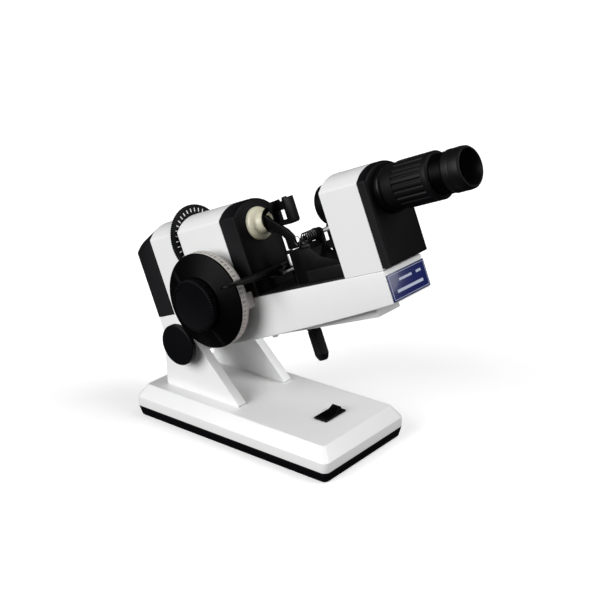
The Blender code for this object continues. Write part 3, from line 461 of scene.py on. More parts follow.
def build_stand():
    plate = slab("base_plate_shell", STAND, BASE_SIZE, BASE_CORNER,
                 fillet([(1.5, 3.4), (1.5, 3.2), (2.4, 2.3), (12.1, 0.0), (12.1, 1.2)], 1.2, 3, False))
    settle(plate, "black_plastic", "base", ["base_plate"])
    cover = slab("base_cover_shell", STAND, BASE_SIZE, BASE_CORNER,
                 fillet([(12.4, 1.2), (12.4, 0.0), (22.5, 0.0), (35.1, 9.0), (35.1, 10.5)], 1.3, 4, False))
    join_cut(cover, block("well", STAND, (73.8, -14.0, 18.5), (87.8, 15.6, 40.0)))
    join_cut(cover, lathe("hole", STAND, "X", INLET, [(-130, 0), (-130, 4.0), (-118, 4.0), (-118, 0)],
                          40, 0.0))
    settle(cover, "white_paint", "base", ["base_cover"])

    socket = lathe("inlet_socket", STAND, "X", INLET,
                   [(-119.6, 0.0), (-119.6, 3.7), (-125.3, 3.7), (-125.3, 5.5), (-126.9, 5.5),
                    (-126.9, 2.6), (-121.0, 2.6), (-121.0, 0.0)], 48, 0.25)
    settle(socket, "black_plastic", "base", ["power_inlet"])
    pin = lathe("inlet_pin", STAND, "X", INLET,
                [(-120.6, 0.0), (-120.6, 0.9), (-125.9, 0.9), (-126.3, 0.5), (-126.3, 0.0)], 20, 0.1)
    settle(pin, "steel", "base")

    for number in range(1, 5):
        low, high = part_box(f"rubber_foot_{number}")
        x, y = (low.x + high.x) / 2 / MM - STAND.translation.x / MM, (low.y + high.y) / 2 / MM
        foot = lathe(f"foot_pad_{number}", STAND, "Z", (x, y),
                     [(0.0, 0.0), (0.0, 3.0), (0.25, 3.4), (0.25, 5.0), (0.0, 5.4), (0.0, 7.6), (1.2, 7.9),
                      (1.2, 0.0)], 48, 0.2)
        settle(foot, "rubber", "base", [f"rubber_foot_{number}"])
        screw = screw_head(f"base_screw_{number}", STAND, "Z", (x * 0.8, y), 1.45, 3.0, 0.9, -1)
        settle(screw, "steel", "base")

    for name, side in (("left_cheek", -1), ("right_cheek", 1)):
        low, high = sorted((side * 29.4, side * 40.4))
        px, pz = (PIVOT.x - STAND.translation.x) / MM, PIVOT.z / MM
        past = (CHEEK_FRONT_SUM - px - pz) / math.sqrt(2.0)
        cut = 45 + math.degrees(math.acos(past / CHEEK_RADIUS))
        back, drop = px - CHEEK_BACK, pz - CHEEK_TOP
        slope = math.atan2(drop, back) + math.asin(CHEEK_RADIUS / math.hypot(back, drop))
        points = [(CHEEK_BACK, CHEEK_FOOT), (CHEEK_FRONT_SUM - CHEEK_FOOT, CHEEK_FOOT)]
        points += arc((px, pz), CHEEK_RADIUS, cut, 90 + math.degrees(slope), 14)
        points.append((CHEEK_BACK, CHEEK_TOP))
        cheek = bevel(prism(name + "_plate", STAND, fillet(points, 2.5, 4), low, high, "XZ"), 1.8, 4, 40)
        settle(cheek, "white_paint", "base", [name])
        # Bead of paint where the plate meets the base.
        foot = prism(name + "_fillet", STAND, [(-99.4, 35.12), (0.6, 35.12), (0.2, 35.5), (-99.0, 35.5)],
                     low - 0.3, high + 0.3, "XZ")
        settle(foot, "white_paint", "base")

    px, pz = (PIVOT.x - STAND.translation.x) / MM, PIVOT.z / MM
    cap = lathe("axle_cover", STAND, "-Y", (px, pz),
                [(-47.5, 0.0), (-47.5, 8.6), (-45.5, 10.9), (-40.7, 10.9), (-40.7, 5.2), (-44.3, 5.2),
                 (-44.3, 0.0)], 64, 0.6)
    join_cut(cap, lathe("socket", STAND, "-Y", (px, pz),
                        [(-48, 0), (-48, 3.2), (-45.6, 3.2), (-45.6, 0)], 6, 0.0))
    settle(cap, "black_plastic", "base", ["axle_cap"])

    knob = lathe("lock_knob_body", STAND, "-Y", (px, pz),
                 [(54.8, 0.0), (54.8, 20.0), (54.0, 21.15), (49.6, 21.15), (49.2, 20.5), (49.2, 9.0),
                  (40.7, 9.0), (40.7, 5.2), (47.3, 5.2), (47.3, 0.0)], 128, 0.6)
    settle(knob, "black_plastic", "lock", ["lock_knob"])


def build_switch():
    x, y = SWITCH_X, SWITCH_Y
    bezel = block("switch_frame", STAND, (x - 7.75, y - 15.6, 35.4), (x + 7.75, y + 15.6, 37.1))
    bezel = bevel(bezel, 0.6, 3)
    join_cut(bezel, block("body", STAND, (x - 6.7, y - 14.5, 19.0), (x + 6.7, y + 14.5, 36.0)), "UNION")
    join_cut(bezel, block("well", STAND, (x - 5.7, y - 13.3, 22.0), (x + 5.7, y + 13.3, 45.0)))
    settle(bezel, "black_gloss", "base", ["switch_bezel"])
    pivot = STAND @ Matrix.Translation(Vector((x, y, 34.0)) * MM)
    points = [(-12.4, -4.0), (-12.5, 2.9), (-6.0, 2.4), (0.0, 3.2), (5.5, 5.1), (10.9, 7.8), (11.6, 6.4),
              (12.2, -1.0)]
    points += arc((0.0, -2.0), 7.0, -20, -160, 12)
    rocker = bevel(prism("rocker_key", pivot, fillet(points, 0.8, 3), -5.3, 5.3, "YZ"), 0.5, 3, 50)
    settle(rocker, "black_gloss", "rocker", ["switch_rocker"])


# ------------------------------------------------------------------ head castings

def arm_bottom(x):
    return -15.0 + 11.4 * ((x + 44.2) / 304.4) ** 2.2


def arm_points(inset, steps=36):
    rear, front = -44.2 + inset, 260.2 - inset
    points = [(front, 27.0 - inset), (rear, 27.0 - inset)]
    for i in range(steps + 1):
        x = rear + (front - rear) * i / steps
        points.append((x, arm_bottom(x) + inset))
    return points


def arch_points(inset, bottom, corner=3.0, drop=0.0, steps=22):
    """Housing section: straight sides and a low round roof, with its shoulders eased."""
    half = HALF_WIDTH - inset
    rise = ARCH_TOP - ARCH_CORNER
    radius = (HALF_WIDTH ** 2 + rise ** 2) / (2 * rise) - inset
    centre = ARCH_TOP - inset - radius - drop
    spread = math.degrees(math.asin(half / radius))
    roof = arc((0.0, centre), radius, 90 - spread, 90 + spread, steps)
    eased = fillet([(half, bottom), roof[0], roof[3]], corner, 4, False)[1:-1]
    other = [(-y, z) for y, z in reversed(eased)]
    return [(-half, bottom), (half, bottom)] + eased + roof[3:-3] + other


def arch_loft(name, stations, bottom):
    """Housing lofted through (x, inset, roof drop) stations, closed at both ends."""
    bm = bmesh.new()
    rings = []
    for x, inset, drop in stations:
        ring = arch_points(inset, bottom + max(0.0, inset - 0.2), drop=drop)
        rings.append([bm.verts.new((x, y, z)) for y, z in ring])
    skin(bm, rings)
    return put(bm, name, HEAD)


def eased_end(x, inset, direction, radius, steps=5):
    """Stations that round a cover's rim off towards its end face."""
    out = []
    for i in range(steps + 1):
        a = math.pi / 2 * i / steps
        out.append((x - direction * radius * (1 - math.sin(a)), inset + radius * (1 - math.cos(a)), 0.0))
    return out


def build_castings():
    arm = bevel(prism("arm_casting", HEAD, arm_points(0.0), -HALF_WIDTH, HALF_WIDTH, "XZ"), 1.2, 4, 50)
    inner = HALF_WIDTH - 3.0
    join_cut(arm, prism("hollow", HEAD, arm_points(3.0, 12), -inner, inner, "XZ"))
    join_cut(arm, block("opening", HEAD, (51.7, -17.1, -30.0), (230.1, 17.1, 10.0)))
    for axis, across, low, high, radius in (("-Y", (0.0, 0.0), -40.0, 40.0, 5.1),
                                            ("Z", AT_POST, 15.0, 35.0, 3.1)):
        join_cut(arm, lathe("bore", HEAD, axis, across,
                            [(high, 0), (high, radius), (low, radius), (low, 0)], 40, 0.0))
    settle(arm, "white_paint", "head", ["arm_frame"])

    tray = block("underside_cover", HEAD, (52.0, -16.8, -14.8), (229.8, 16.8, 3.0))
    tray = bevel(tray, 1.2, 4)
    join_cut(tray, block("hollow", HEAD, (54.0, -14.8, -12.8), (227.8, 14.8, 8.0)))
    join_cut(tray, lathe("hole", HEAD, "Z", AT_POST, [(0, 0), (0, 7.1), (-20, 7.1), (-20, 0)], 48, 0.0))
    settle(tray, "white_paint", "head", ["bottom_cover"])
    screw = screw_head("arm_screw", HEAD, "Z", (104.3, -22.5), arm_bottom(104.3) - 0.3, 3.0, 2.4, -1)
    settle(screw, "steel", "head", ["bottom_screw"])
    for number, x in enumerate((62.0, 219.0), 1):
        screw = screw_head(f"cover_screw_{number}", HEAD, "Z", (x, 0.0), -14.75, 2.4, 0.9, -1)
        settle(screw, "steel", "head")

    deck = bevel(block("deck_plate", HEAD, (105.7, -27.5, 27.3), (215.5, 27.5, 28.5)), 0.3, 2)
    join_cut(deck, lathe("hole", HEAD, "Z", AT_POST, [(35, 0), (35, 3.4), (15, 3.4), (15, 0)], 32, 0.0))
    settle(deck, "black_paint", "head", ["arm_top_plate"])

    index = bevel(block("index_mark_block", HEAD, (93.0, -43.4, 19.0), (98.5, -28.95, 34.0)), 0.8, 3)
    settle(index, "scale_white", "head", ["index_block"])
    line = block("index_line", HEAD, (98.4, -42.9, 26.3), (98.56, -38.5, 26.7))
    settle(line, "ink", "head")

    build_housings()
    build_nameplate()


def build_housings():
    bottom = HOUSING_BOTTOM
    rear = arch_loft("lamp_housing", [(-19.2, 0.3, 0), (-18.9, 0.0, 0), (84.4, 0.0, 0), (84.7, 0.3, 0)],
                     bottom)
    join_cut(rear, arch_loft("hollow", [(-25, 3.0, 0), (90, 3.0, 0)], bottom - 8))
    join_cut(rear, block("slot", HEAD, (15.9, -40.0, 66.0), (23.7, 40.0, 130.0)))
    join_cut(rear, lathe("hole", HEAD, "-Y", AT_DRUM, [(35, 0), (35, 3.2), (-35, 3.2), (-35, 0)], 40, 0.0))
    settle(rear, "white_paint", "head", ["rear_housing"])

    drop = 9.0                  # how far the roof falls towards the rear
    rim = reversed(eased_end(BACK_END, 0.2, -1, 2.0))
    stations = [(x, inset, drop * (x - BACK_START) / (BACK_END - BACK_START)) for x, inset, _ in rim]
    stations.append((BACK_START, 0.2, 0.0))
    back = arch_loft("lamp_cover", stations, bottom)
    join_cut(back, arch_loft("hollow", [(-42.7, 2.7, drop * 23.2 / 25.7), (-15.0, 2.7, -1.6)], bottom - 8))
    settle(back, "black_plastic", "head", ["rear_cover"])

    nose = arch_loft("nose_end_cover", [(85.0, 0.2, 0)] + eased_end(105.4, 0.2, 1, 2.4), bottom)
    join_cut(nose, arch_loft("hollow", [(80, 2.7, 0), (102.9, 2.7, 0)], bottom - 8))
    join_cut(nose, lathe("hole", HEAD, "X", ON_AXIS, [(110, 0), (110, 12.3), (95, 12.3), (95, 0)], 64, 0.0))
    settle(nose, "black_plastic", "head", ["nose_cover"])

    tele = arch_loft("telescope_casting",
                     [(215.8, 0.3, 0), (216.1, 0.0, 0), (259.9, 0.0, 0), (260.2, 0.3, 0)],
                     bottom)
    join_cut(tele, arch_loft("hollow", [(218.8, 3.0, 0), (265, 3.0, 0)], bottom - 8))
    join_cut(tele, lathe("hole", HEAD, "X", ON_AXIS,
                         [(225, 0), (225, 16.3), (210, 16.3), (210, 0)], 64, 0.0))
    settle(tele, "white_paint", "head", ["telescope_housing"])

    front = arch_loft("eyepiece_end_cover", [(260.5, 0.2, 0)] + eased_end(269.9, 0.2, 1, 2.8), 29.0)
    join_cut(front, arch_loft("hollow", [(255, 2.7, 0), (267.4, 2.7, 0)], 28.5))
    # Known fault: this cut leaves the front wall closed where the eyepiece tube goes through it.
    join_cut(front, lathe("hole", HEAD, "X", ON_AXIS,
                          [(275, 0), (275, 18.6), (262, 18.6), (262, 0)], 64, 0.0))
    settle(front, "black_plastic", "head", ["eyepiece_cover"])
    screw = screw_head("roof_screw", HEAD, "Z", (221.0, 0.0), 117.3, 2.2, 0.9)
    settle(screw, "white_paint", "head")


def build_nameplate():
    face, ink = 261.4, 261.46   # the plate's front, and the print that stands a little off it
    plate = bevel(block("name_plate", HEAD, (260.5, -27.7, -2.4), (face, 27.7, 22.4)), 0.25, 2)
    settle(plate, "blue_plate", "head", ["nameplate"])
    lines = []
    half_y, low, high, wide = 26.2, -0.9, 20.9, 0.45
    for y in (-half_y, half_y):
        lines.append(block("edge", HEAD, (face, y - wide / 2, low), (ink, y + wide / 2, high)))
    for z in (low, high):
        lines.append(block("edge", HEAD, (face, -half_y - wide / 2, z - wide / 2),
                           (ink, half_y + wide / 2, z + wide / 2)))
    frame_line = merge("plate_border", lines)
    settle(frame_line, "pale_ink", "head")
    # Plain bars stand where the real plate is lettered.
    bars = []
    for y0, y1, z, tall in ((-13.0, 6.0, 14.6, 2.2), (12.5, 20.0, 14.6, 2.2), (-19.5, 19.5, 5.4, 2.6)):
        bars.append(block("bar", HEAD, (face, y0, z - tall / 2), (ink, y1, z + tall / 2)))
    settle(merge("plate_bars", bars), "pale_ink", "head")


# ------------------------------------------------------------------ axis wheel and power drum

def toothed(count, depth, inner, sharp=1.0):
    """Rim shape with rounded teeth; below the inner radius the piece stays round."""
    def shape(angle, along, radius):
        if radius < inner:
            return radius
        wave = 0.5 + 0.5 * math.cos(count * angle)
        return radius - depth * (1 - wave ** sharp)
    return shape


def build_wheel():
    wheel = lathe("axis_ring", HEAD, "X", ON_AXIS,
                  [(33.0, 19.0), (33.0, 22.0), (21.6, 22.0), (21.6, 33.0), (21.2, 33.3), (21.6, 33.7),
                   (21.4, 35.4), (20.9, 35.8), (18.0, 35.8), (17.3, 35.3), (17.3, 22.0), (10.0, 22.0),
                   (10.0, 19.0)], 576, 0.12, toothed(96, 0.85, 34.9, 0.7), 1)
    settle(wheel, "black_plastic", "axis_ring", ["axis_wheel"], angle=25)
    ticks = []
    count, half, low, high = 36, 0.55, 28.2, 31.9
    for k in range(count):
        angle = math.radians(360 / count * k)
        tick = block("tick", Matrix.Identity(4), (21.6, low, -half), (21.66, high, half))
        turn = Matrix.Translation((0.0, 0.0, AXIS_Z * MM)) @ Matrix.Rotation(angle, 4, "X")
        tick.matrix_world = HEAD @ turn
        ticks.append(tick)
    settle(merge("axis_ring_ticks", ticks), "white_ink", "axis_ring")


DIGITS = {
    "0": ((0, 0, 1, 0), (1, 0, 1, 2), (1, 2, 0, 2), (0, 2, 0, 0)),
    "1": ((0.6, 0, 0.6, 2),),
    "2": ((0, 2, 1, 2), (1, 2, 1, 1), (1, 1, 0, 1), (0, 1, 0, 0), (0, 0, 1, 0)),
    "3": ((0, 2, 1, 2), (1, 2, 1, 0), (0, 1, 1, 1), (0, 0, 1, 0)),
    "4": ((0, 2, 0, 1), (0, 1, 1, 1), (1, 2, 1, 0)),
    "5": ((1, 2, 0, 2), (0, 2, 0, 1), (0, 1, 1, 1), (1, 1, 1, 0), (1, 0, 0, 0)),
    "6": ((1, 2, 0, 2), (0, 2, 0, 0), (0, 0, 1, 0), (1, 0, 1, 1), (1, 1, 0, 1)),
    "7": ((0, 2, 1, 2), (1, 2, 0.4, 0)),
    "8": ((0, 0, 1, 0), (1, 0, 1, 2), (1, 2, 0, 2), (0, 2, 0, 0), (0, 1, 1, 1)),
    "9": ((1, 1, 0, 1), (0, 1, 0, 2), (0, 2, 1, 2), (1, 2, 1, 0), (1, 0, 0, 0)),
}


def wrap_marks(name, quads, radius, lift):
    """Printed marks on the drum's rim. Each quad is four (distance round the rim, -y) corners."""
    bm = bmesh.new()
    for quad in quads:
        inner, outer = [], []
        for round_rim, along in quad:
            a = round_rim / radius
            for r, row in ((radius - 0.05, inner), (radius + lift, outer)):
                row.append(bm.verts.new((DRUM_X + r * math.cos(a), -along, DRUM_Z + r * math.sin(a))))
        bm.faces.new(inner)
        bm.faces.new(list(reversed(outer)))
        for k in range(4):
            n = (k + 1) % 4
            bm.faces.new((inner[k], inner[n], outer[n], outer[k]))
    return put(bm, name, HEAD)


def build_drum():
    face = lathe("drum_face", HEAD, "-Y", AT_DRUM,
                 [(61.5, 3.05), (61.5, 26.6), (61.0, 27.6), (54.6, 46.8), (53.9, 47.3), (52.9, 47.3),
                  (52.9, 43.6), (43.9, 43.6), (43.9, 3.05)], 160, 0.5)
    settle(face, "black_gloss", "drum", ["drum_disc"])
    ring = lathe("drum_scale", HEAD, "-Y", AT_DRUM,
                 [(52.6, 44.0), (52.6, SCALE_RADIUS), (43.9, SCALE_RADIUS), (43.9, 44.0)], 200, 0.25)
    settle(ring, "scale_white", "drum", ["scale_ring"])

    radius, zero, per_dioptre = SCALE_RADIUS, math.radians(-11.4), math.radians(5.4)
    half_line, tall, wide, pen, gap, foot = 0.16, 1.4, 1.2, 0.22, 0.5, 50.9
    black, red = [], []
    for quarter in range(-100, 101):
        power = quarter / 4
        a = (zero + power * per_dioptre) * radius
        long = 2.4 if quarter % 4 == 0 else 1.3
        ink = red if power < 0 else black
        low, high = 44.3, 44.3 + long
        ink.append([(a - half_line, low), (a + half_line, low), (a + half_line, high),
                    (a - half_line, high)])
        if quarter % 4:
            continue
        text = str(abs(int(power)))
        start = a - (len(text) * (wide + gap) - gap) / 2
        for place, char in enumerate(text):
            left = start + place * (wide + gap)
            for x0, y0, x1, y1 in DIGITS[char]:
                p = Vector((left + x0 * wide, foot - y0 * tall))
                q = Vector((left + x1 * wide, foot - y1 * tall))
                along = (q - p).normalized()
                side = Vector((-along.y, along.x)) * pen
                p, q = p - along * pen, q + along * pen
                ink.append([tuple(p - side), tuple(p + side), tuple(q + side), tuple(q - side)])
    settle(wrap_marks("scale_marks_plus", black, radius, 0.04), "ink", "drum")
    settle(wrap_marks("scale_marks_minus", red, radius, 0.04), "red_ink", "drum")

    ribs = 60

    def ribbed(angle, along, r):
        if r < 24.0 or not 62.6 < along < 70.75:
            return r
        wave = math.cos(ribs * angle)
        return r - 1.2 * (1 - max(0.0, wave) ** 0.5)

    knob = lathe("drum_grip", HEAD, "-Y", AT_DRUM,
                 [(70.6, 0.0), (70.6, 23.2), (71.2, 23.5), (71.2, 23.9), (70.8, 24.2), (70.7, 25.8),
                  (69.9, 26.0),
                  (62.9, 24.4), (62.5, 24.0), (61.8, 23.8), (61.8, 3.2), (66.4, 3.2), (66.4, 0.0)],
                 ribs * 6, 0.15, ribbed, 2)
    settle(knob, "black_plastic", "drum", ["drum_knob"], angle=25)


# ------------------------------------------------------------------ nose, table, presser, marker

def build_nose():
    cone = lathe("nose_tip", HEAD, "X", ON_AXIS,
                 [(121.0, 5.2), (121.0, 7.2), (119.4, 9.3), (114.2, 10.6), (113.2, 11.6), (112.4, 13.4),
                  (110.6, 15.4), (108.6, 16.15), (105.7, 16.15), (105.7, 12.0), (101.4, 12.0), (101.4, 9.0),
                  (108.0, 5.2)], 128, 0.8, steps=4)
    settle(cone, "cream_plastic", "head", ["nose_cone"], angle=40)


def build_table():
    half = [(122.4, 12.0), (137.4, 15.0), (136.5, 28.0), (133.5, 44.0), (129.5, 58.0), (125.0, 70.0),
            (120.5, 77.0),
            (115.0, 79.0), (109.5, 77.0), (107.0, 70.0), (108.4, 60.0), (112.3, 48.0), (115.8, 34.0),
            (117.0, 20.0)]
    points = fillet(half + [(x, -y) for x, y in reversed(half)], 6.0, 5)
    plate = bevel(prism("lens_table", HEAD, points, 47.3, 50.7, "XY"), 0.9, 4)
    for side in (-1, 1):
        web = [(side * 14, 42), (side * 14, 48), (side * 64, 48), (side * 64, 46.6)]
        join_cut(plate, bevel(prism("web", HEAD, web, 120.0, 127.0, "YZ"), 0.5, 2), "UNION")
    settle(plate, "black_paint", "table", ["table_plate"])

    post = lathe("table_column", HEAD, "Z", AT_POST,
                 [(56.6, 0.0), (56.6, 2.9), (45.0, 2.9), (44.0, 2.9), (44.0, 0.0)], 64, 0.2)
    settle(post, "bright_steel", "table")
    stem = lathe("table_stem", HEAD, "Z", AT_POST,
                 [(44.6, 0.0), (44.6, 2.85), (5.3, 2.85), (5.3, 0.0)], 64, 0.2)
    settle(stem, "black_paint", "table", ["table_post"])
    cap = lathe("table_column_cap", HEAD, "Z", AT_POST,
                [(59.2, 0.0), (59.2, 3.7), (58.6, 4.3), (56.9, 4.3), (56.5, 3.9), (56.5, 0.0)], 64, 0.3)
    settle(cap, "black_paint", "table")
    shelf = bevel(block("table_bracket", HEAD, (112.0, -13.0, 40.0), (131.0, 13.0, 41.8)), 0.4, 2)
    collar = lathe("collar", HEAD, "Z", AT_POST,
                   [(45.0, 2.95), (45.0, 5.1), (44.6, 5.5), (40.6, 5.5), (40.6, 2.95)], 64, 0.2)
    join_cut(shelf, collar, "UNION")
    join_cut(shelf, bevel(block("rib", HEAD, (117.4, -9.0, 41.0), (121.6, 13.0, 47.0)), 0.4, 2), "UNION")
    settle(shelf, "black_paint", "table")
    # Bright steel strip along the bracket's front edge: painted highlight where that edge catches the
    # light.
    bar = bevel(block("table_front_highlight_strip", HEAD, (129.4, -12.9, 40.9), (131.4, 8.0, 43.2)), 0.3, 2)
    settle(bar, "bright_steel", "table")

    def gripped(angle, along, r):
        if r < 6.0 or not -44.0 < along < -22.0:
            return r
        return r - 0.35 * (0.5 - 0.5 * math.cos(20 * angle))

    handle = lathe("table_lever", HEAD, "Z", AT_POST,
                   [(5.0, 0.0), (5.0, 6.8), (-19.5, 6.8), (-20.2, 6.3), (-21.0, 6.3), (-21.8, 6.8),
                    (-22.2, 6.8),
                    (-43.8, 6.8), (-44.2, 6.8), (-46.0, 6.7), (-50.5, 4.9), (-51.5, 3.9), (-51.5, 0.0)],
                   120, 0.4, gripped, 2)
    settle(handle, "black_plastic", "table", ["table_handle"])


def build_mechanism():
    base = bevel(block("bracket", HEAD, (166.0, -21.0, 28.8), (213.0, 26.0, 40.0)), 0.8, 3)
    points = [(150, 29.0), (205.7, 29.0), (205.7, 43), (186, 50), (176, 60), (163, 60), (163, 61),
              (150, 61)]
    join_cut(base, bevel(prism("step", HEAD, fillet(points, 0.8, 3), -18.0, 2.0, "XZ"), 0.6, 2), "UNION")
    join_cut(base, bevel(block("seat", HEAD, (164.0, -17.5, 59.0), (177.0, -2.6, 63.9)), 0.5, 2), "UNION")
    side = [(167.1, 38), (186, 38), (180, 50), (177.1, 56)] + arc(AT_ROD, 5.0, 0, 180, 20)
    for y in (3.0, 22.0):
        join_cut(base, bevel(prism("ear", HEAD, side, y, y + 4.0, "XZ"), 0.4, 2, 40), "UNION")
    join_cut(base, block("crossbar", HEAD, (168.5, 1.5, 51.5), (174.5, 25.5, 59.0)), "UNION")
    join_cut(base, lathe("bore", HEAD, "-Y", AT_ROD, [(30, 0), (30, 2.3), (-30, 2.3), (-30, 0)], 32, 0.0))
    settle(base, "black_paint", "head", ["mech_bracket"])
    for number, (x, y) in enumerate(((208.5, -16.5), (208.5, 14.5), (188.0, 13.0)), 1):
        screw = screw_head(f"bracket_screw_{number}", HEAD, "Z", (x, y), 39.9, 2.2, 1.3)
        settle(screw, "bright_steel", "head")

    cross = lathe("cross_rod", HEAD, "-Y", AT_ROD,
                  [(20.0, 0.0), (20.0, 1.7), (19.5, 2.2), (-2.5, 2.2), (-2.5, 0.0)], 40, 0.1)
    settle(cross, "dark_steel", "head", ["pivot_rod"])
    # The same rod's far stretch is made in the paler steel: painted highlight on its lit top.
    lit_end = lathe("cross_rod_lit_end", HEAD, "-Y", AT_ROD,
                    [(-2.4, 0.0), (-2.4, 2.2), (-26.5, 2.2), (-27.0, 1.7), (-27.0, 0.0)], 40, 0.1)
    settle(lit_end, "bright_steel", "head")

    coil = []
    turns, per = 5, 26
    for i in range(turns * per + 1):
        a = 2 * math.pi * i / per + math.pi
        coil.append((ROD_X + 4.6 * math.cos(a), -17.4 + 15.0 * i / (turns * per),
                     ROD_Z + 4.6 * math.sin(a)))
    start = [(164.6, -18.2, 60.8), (165.6, -18.2, 63.5), (166.8, -18.0, 66.6)]
    wire = rod("presser_coil", HEAD, start + coil, 0.6, 10)
    settle(wire, "dark_steel", "head", ["presser_spring"], angle=60)
    # Loose end of the coil, bent into an open hook beside the near turn.
    hook = [(ROD_X - 6.2 + 3.6 * math.cos(a), -18.8, ROD_Z - 0.4 + 4.2 * math.sin(a))
            for a in [math.radians(v) for v in range(-60, 250, 14)]]
    settle(rod("presser_hook", HEAD, hook, 0.4, 10), "dark_steel", "head", angle=60)


def build_presser():
    plate = [(126.4, 99.5), (130.7, 95.4), (149.4, 80.5), (154.3, 73.8), (154.6, 61.6), (143.4, 61.6),
             (143.4, 72.6), (141.0, 75.6), (126.4, 86.5)]
    arm = bevel(prism("presser_lever", HEAD, fillet(plate, 2.0, 4), -10.2, -7.2, "XZ"), 0.45, 3, 40)
    join_cut(arm, block("strap", HEAD, (148.0, -10.2, 61.6), (154.6, 1.8, 65.6)), "UNION")
    link = arc(AT_ROD, 5.5, 120, -120, 24) + [(148.5, 61.6), (148.5, 65.6)]
    join_cut(arm, bevel(prism("link", HEAD, link, -1.2, 1.8, "XZ"), 0.3, 2, 40), "UNION")
    join_cut(arm, lathe("bore", HEAD, "-Y", AT_ROD, [(5, 0), (5, 2.3), (-5, 2.3), (-5, 0)], 32, 0.0))
    settle(arm, "black_paint", "presser", ["presser_arm"])

    ring = lathe("presser_hoop", HEAD, "X", ON_AXIS,
                 [(126.1, 8.5), (126.1, 12.8), (124.1, 12.8), (124.1, 8.5)],
                 96, 0.35)
    settle(ring, "black_paint", "presser", ["presser_ring"])
    for i in range(3):
        a = math.radians(90 + 120 * i)
        pin = lathe(f"presser_tip_{i + 1}", HEAD, "X", (10.6 * math.cos(a), AXIS_Z + 10.6 * math.sin(a)),
                    [(121.6, 0.0), (121.6, 0.7), (122.3, 1.2), (124.6, 1.2), (124.6, 0.0)], 24, 0.2)
        settle(pin, "cream_plastic", "presser")


def build_marker():
    top = [(133.5, 104.0), (133.5, 108.6), (138.0, 109.0), (139.0, 106.4), (142.4, 106.6), (143.6, 110.0),
           (147.6, 110.2), (149.0, 108.4), (152.6, 108.4), (156.2, 109.6)]
    low = [(156.2, 86.4), (154.4, 84.6), (139.0, 84.8), (133.5, 88.6)]
    body = bevel(prism("marker_block", HEAD, fillet(top + low, 0.6, 2), -6.9, 4.4, "XZ"), 0.3, 2, 40)
    join_cut(body, block("pocket", HEAD, (135.6, -10.0, AXIS_Z - 3.6), (153.0, 2.0, AXIS_Z + 22.0)))
    join_cut(body, block("window", HEAD, (135.9, -5.0, AXIS_Z - 3.2), (142.4, 10.0, AXIS_Z + 6.2)))
    settle(body, "black_paint", "marker", ["marker_head"])
    for i, z in enumerate((-5.0, 0.0, 5.0), 1):
        pen = lathe(f"marker_pen_{i}", HEAD, "X", (-1.0, AXIS_Z + z),
                    [(128.0, 0.0), (128.3, 0.5), (130.4, 1.0), (130.6, 1.5), (134.5, 1.5), (134.5, 0.0)],
                    24, 0.15)
        settle(pen, "steel", "marker")


# ------------------------------------------------------------------ telescope and eyepiece

def build_telescope():
    barrel = lathe("objective_tube", HEAD, "X", ON_AXIS,
                   [(222.0, 13.5), (222.0, 16.0), (215.5, 16.0), (215.5, 18.65), (198.3, 18.65),
                    (197.7, 18.0), (197.7, 15.9), (198.6, 15.5), (204.6, 15.5), (204.6, 13.5)], 128, 0.35)
    settle(barrel, "black_paint", "head", ["objective_barrel"])
    for name, stand_in, body, profile in (
            ("front_lens", "objective_lens", "head",
             [(204.3, 0.0), (204.0, 5.0), (203.0, 10.5), (202.0, 15.2), (200.8, 15.2), (199.4, 10.5),
              (198.6, 5.0), (198.4, 0.0)]),
            ("ocular_glass", "eye_lens", "ocular",
             [(336.0, 0.0), (335.7, 5.0), (334.7, 10.5), (333.2, 15.2), (330.6, 15.2), (330.1, 0.0)])):
        lens = lathe(name, HEAD, "X", ON_AXIS, profile, 96, 0.2)
        settle(lens, "glass", body, [stand_in], angle=50)

    flange = lathe("eyepiece_collar", HEAD, "X", ON_AXIS,
                   [(276.8, 18.3), (276.8, 20.6), (275.6, 21.8), (274.2, 22.1), (270.2, 22.1),
                    (270.2, 18.3)], 128, 0.5, steps=4)
    settle(flange, "black_paint", "head", ["eyepiece_flange"])

    count = 22

    def grooved(angle, along, r):
        if r < 20.3 or not 289.0 < along < 320.4:
            return r
        wave = 0.5 + 0.5 * math.cos(count * angle)
        return r - 1.1 * (1.0 - min(1.0, wave * 1.9)) ** 0.8

    grip = lathe("focus_grip", HEAD, "X", ON_AXIS,
                 [(327.0, 17.95), (327.0, 19.4), (325.4, 21.0), (321.2, 21.0), (320.8, 20.5), (320.5, 20.5),
                  (320.3, 20.95), (319.0, 21.0), (290.2, 21.0), (289.1, 20.95), (288.9, 20.4),
                  (287.0, 20.2), (277.1, 20.2), (277.1, 17.95)], count * 12, 0.3, grooved, 3)
    settle(grip, "rubber", "focus", ["focus_ring"], angle=28)

    tube = lathe("ocular_tube", HEAD, "X", ON_AXIS,
                 [(338.7, 15.5), (338.7, 17.8), (268.0, 17.8), (268.0, 15.5)], 128, 0.3)
    settle(tube, "black_gloss", "ocular", ["eyepiece_tube"])
    cup = lathe("eye_cup", HEAD, "X", ON_AXIS,
                [(357.7, 15.7), (357.7, 16.9), (355.9, 18.2), (352.0, 18.6), (347.4, 18.5), (346.7, 18.2),
                 (346.0, 18.5), (340.6, 18.6), (339.0, 17.9), (339.0, 14.4), (345.0, 13.6), (352.0, 14.4)],
                128, 0.6, steps=4)
    settle(cup, "rubber", "ocular", ["eyecup"], angle=45)


def dress_cad_nodes():
    """Inner pieces keep their CAD shape and get the same materials."""
    inner = {"tilt_axle": "steel", "lamp_socket": "black_plastic", "lamp_bulb": "glass",
             "bearing_plate": "brass",
             "guide_rod_left": "steel", "guide_rod_right": "steel", "target_carriage": "black_paint",
             "target_rack": "brass", "target_disc": "glass", "drum_shaft": "steel", "drum_pinion": "brass",
             "collimator_cell": "black_paint", "collimator_lens": "glass"}
    for name, mat in inner.items():
        obj = frame["nodes"][name]
        for place in obj.material_slots:
            place.material = MAT[mat]


# ------------------------------------------------------------------ studio

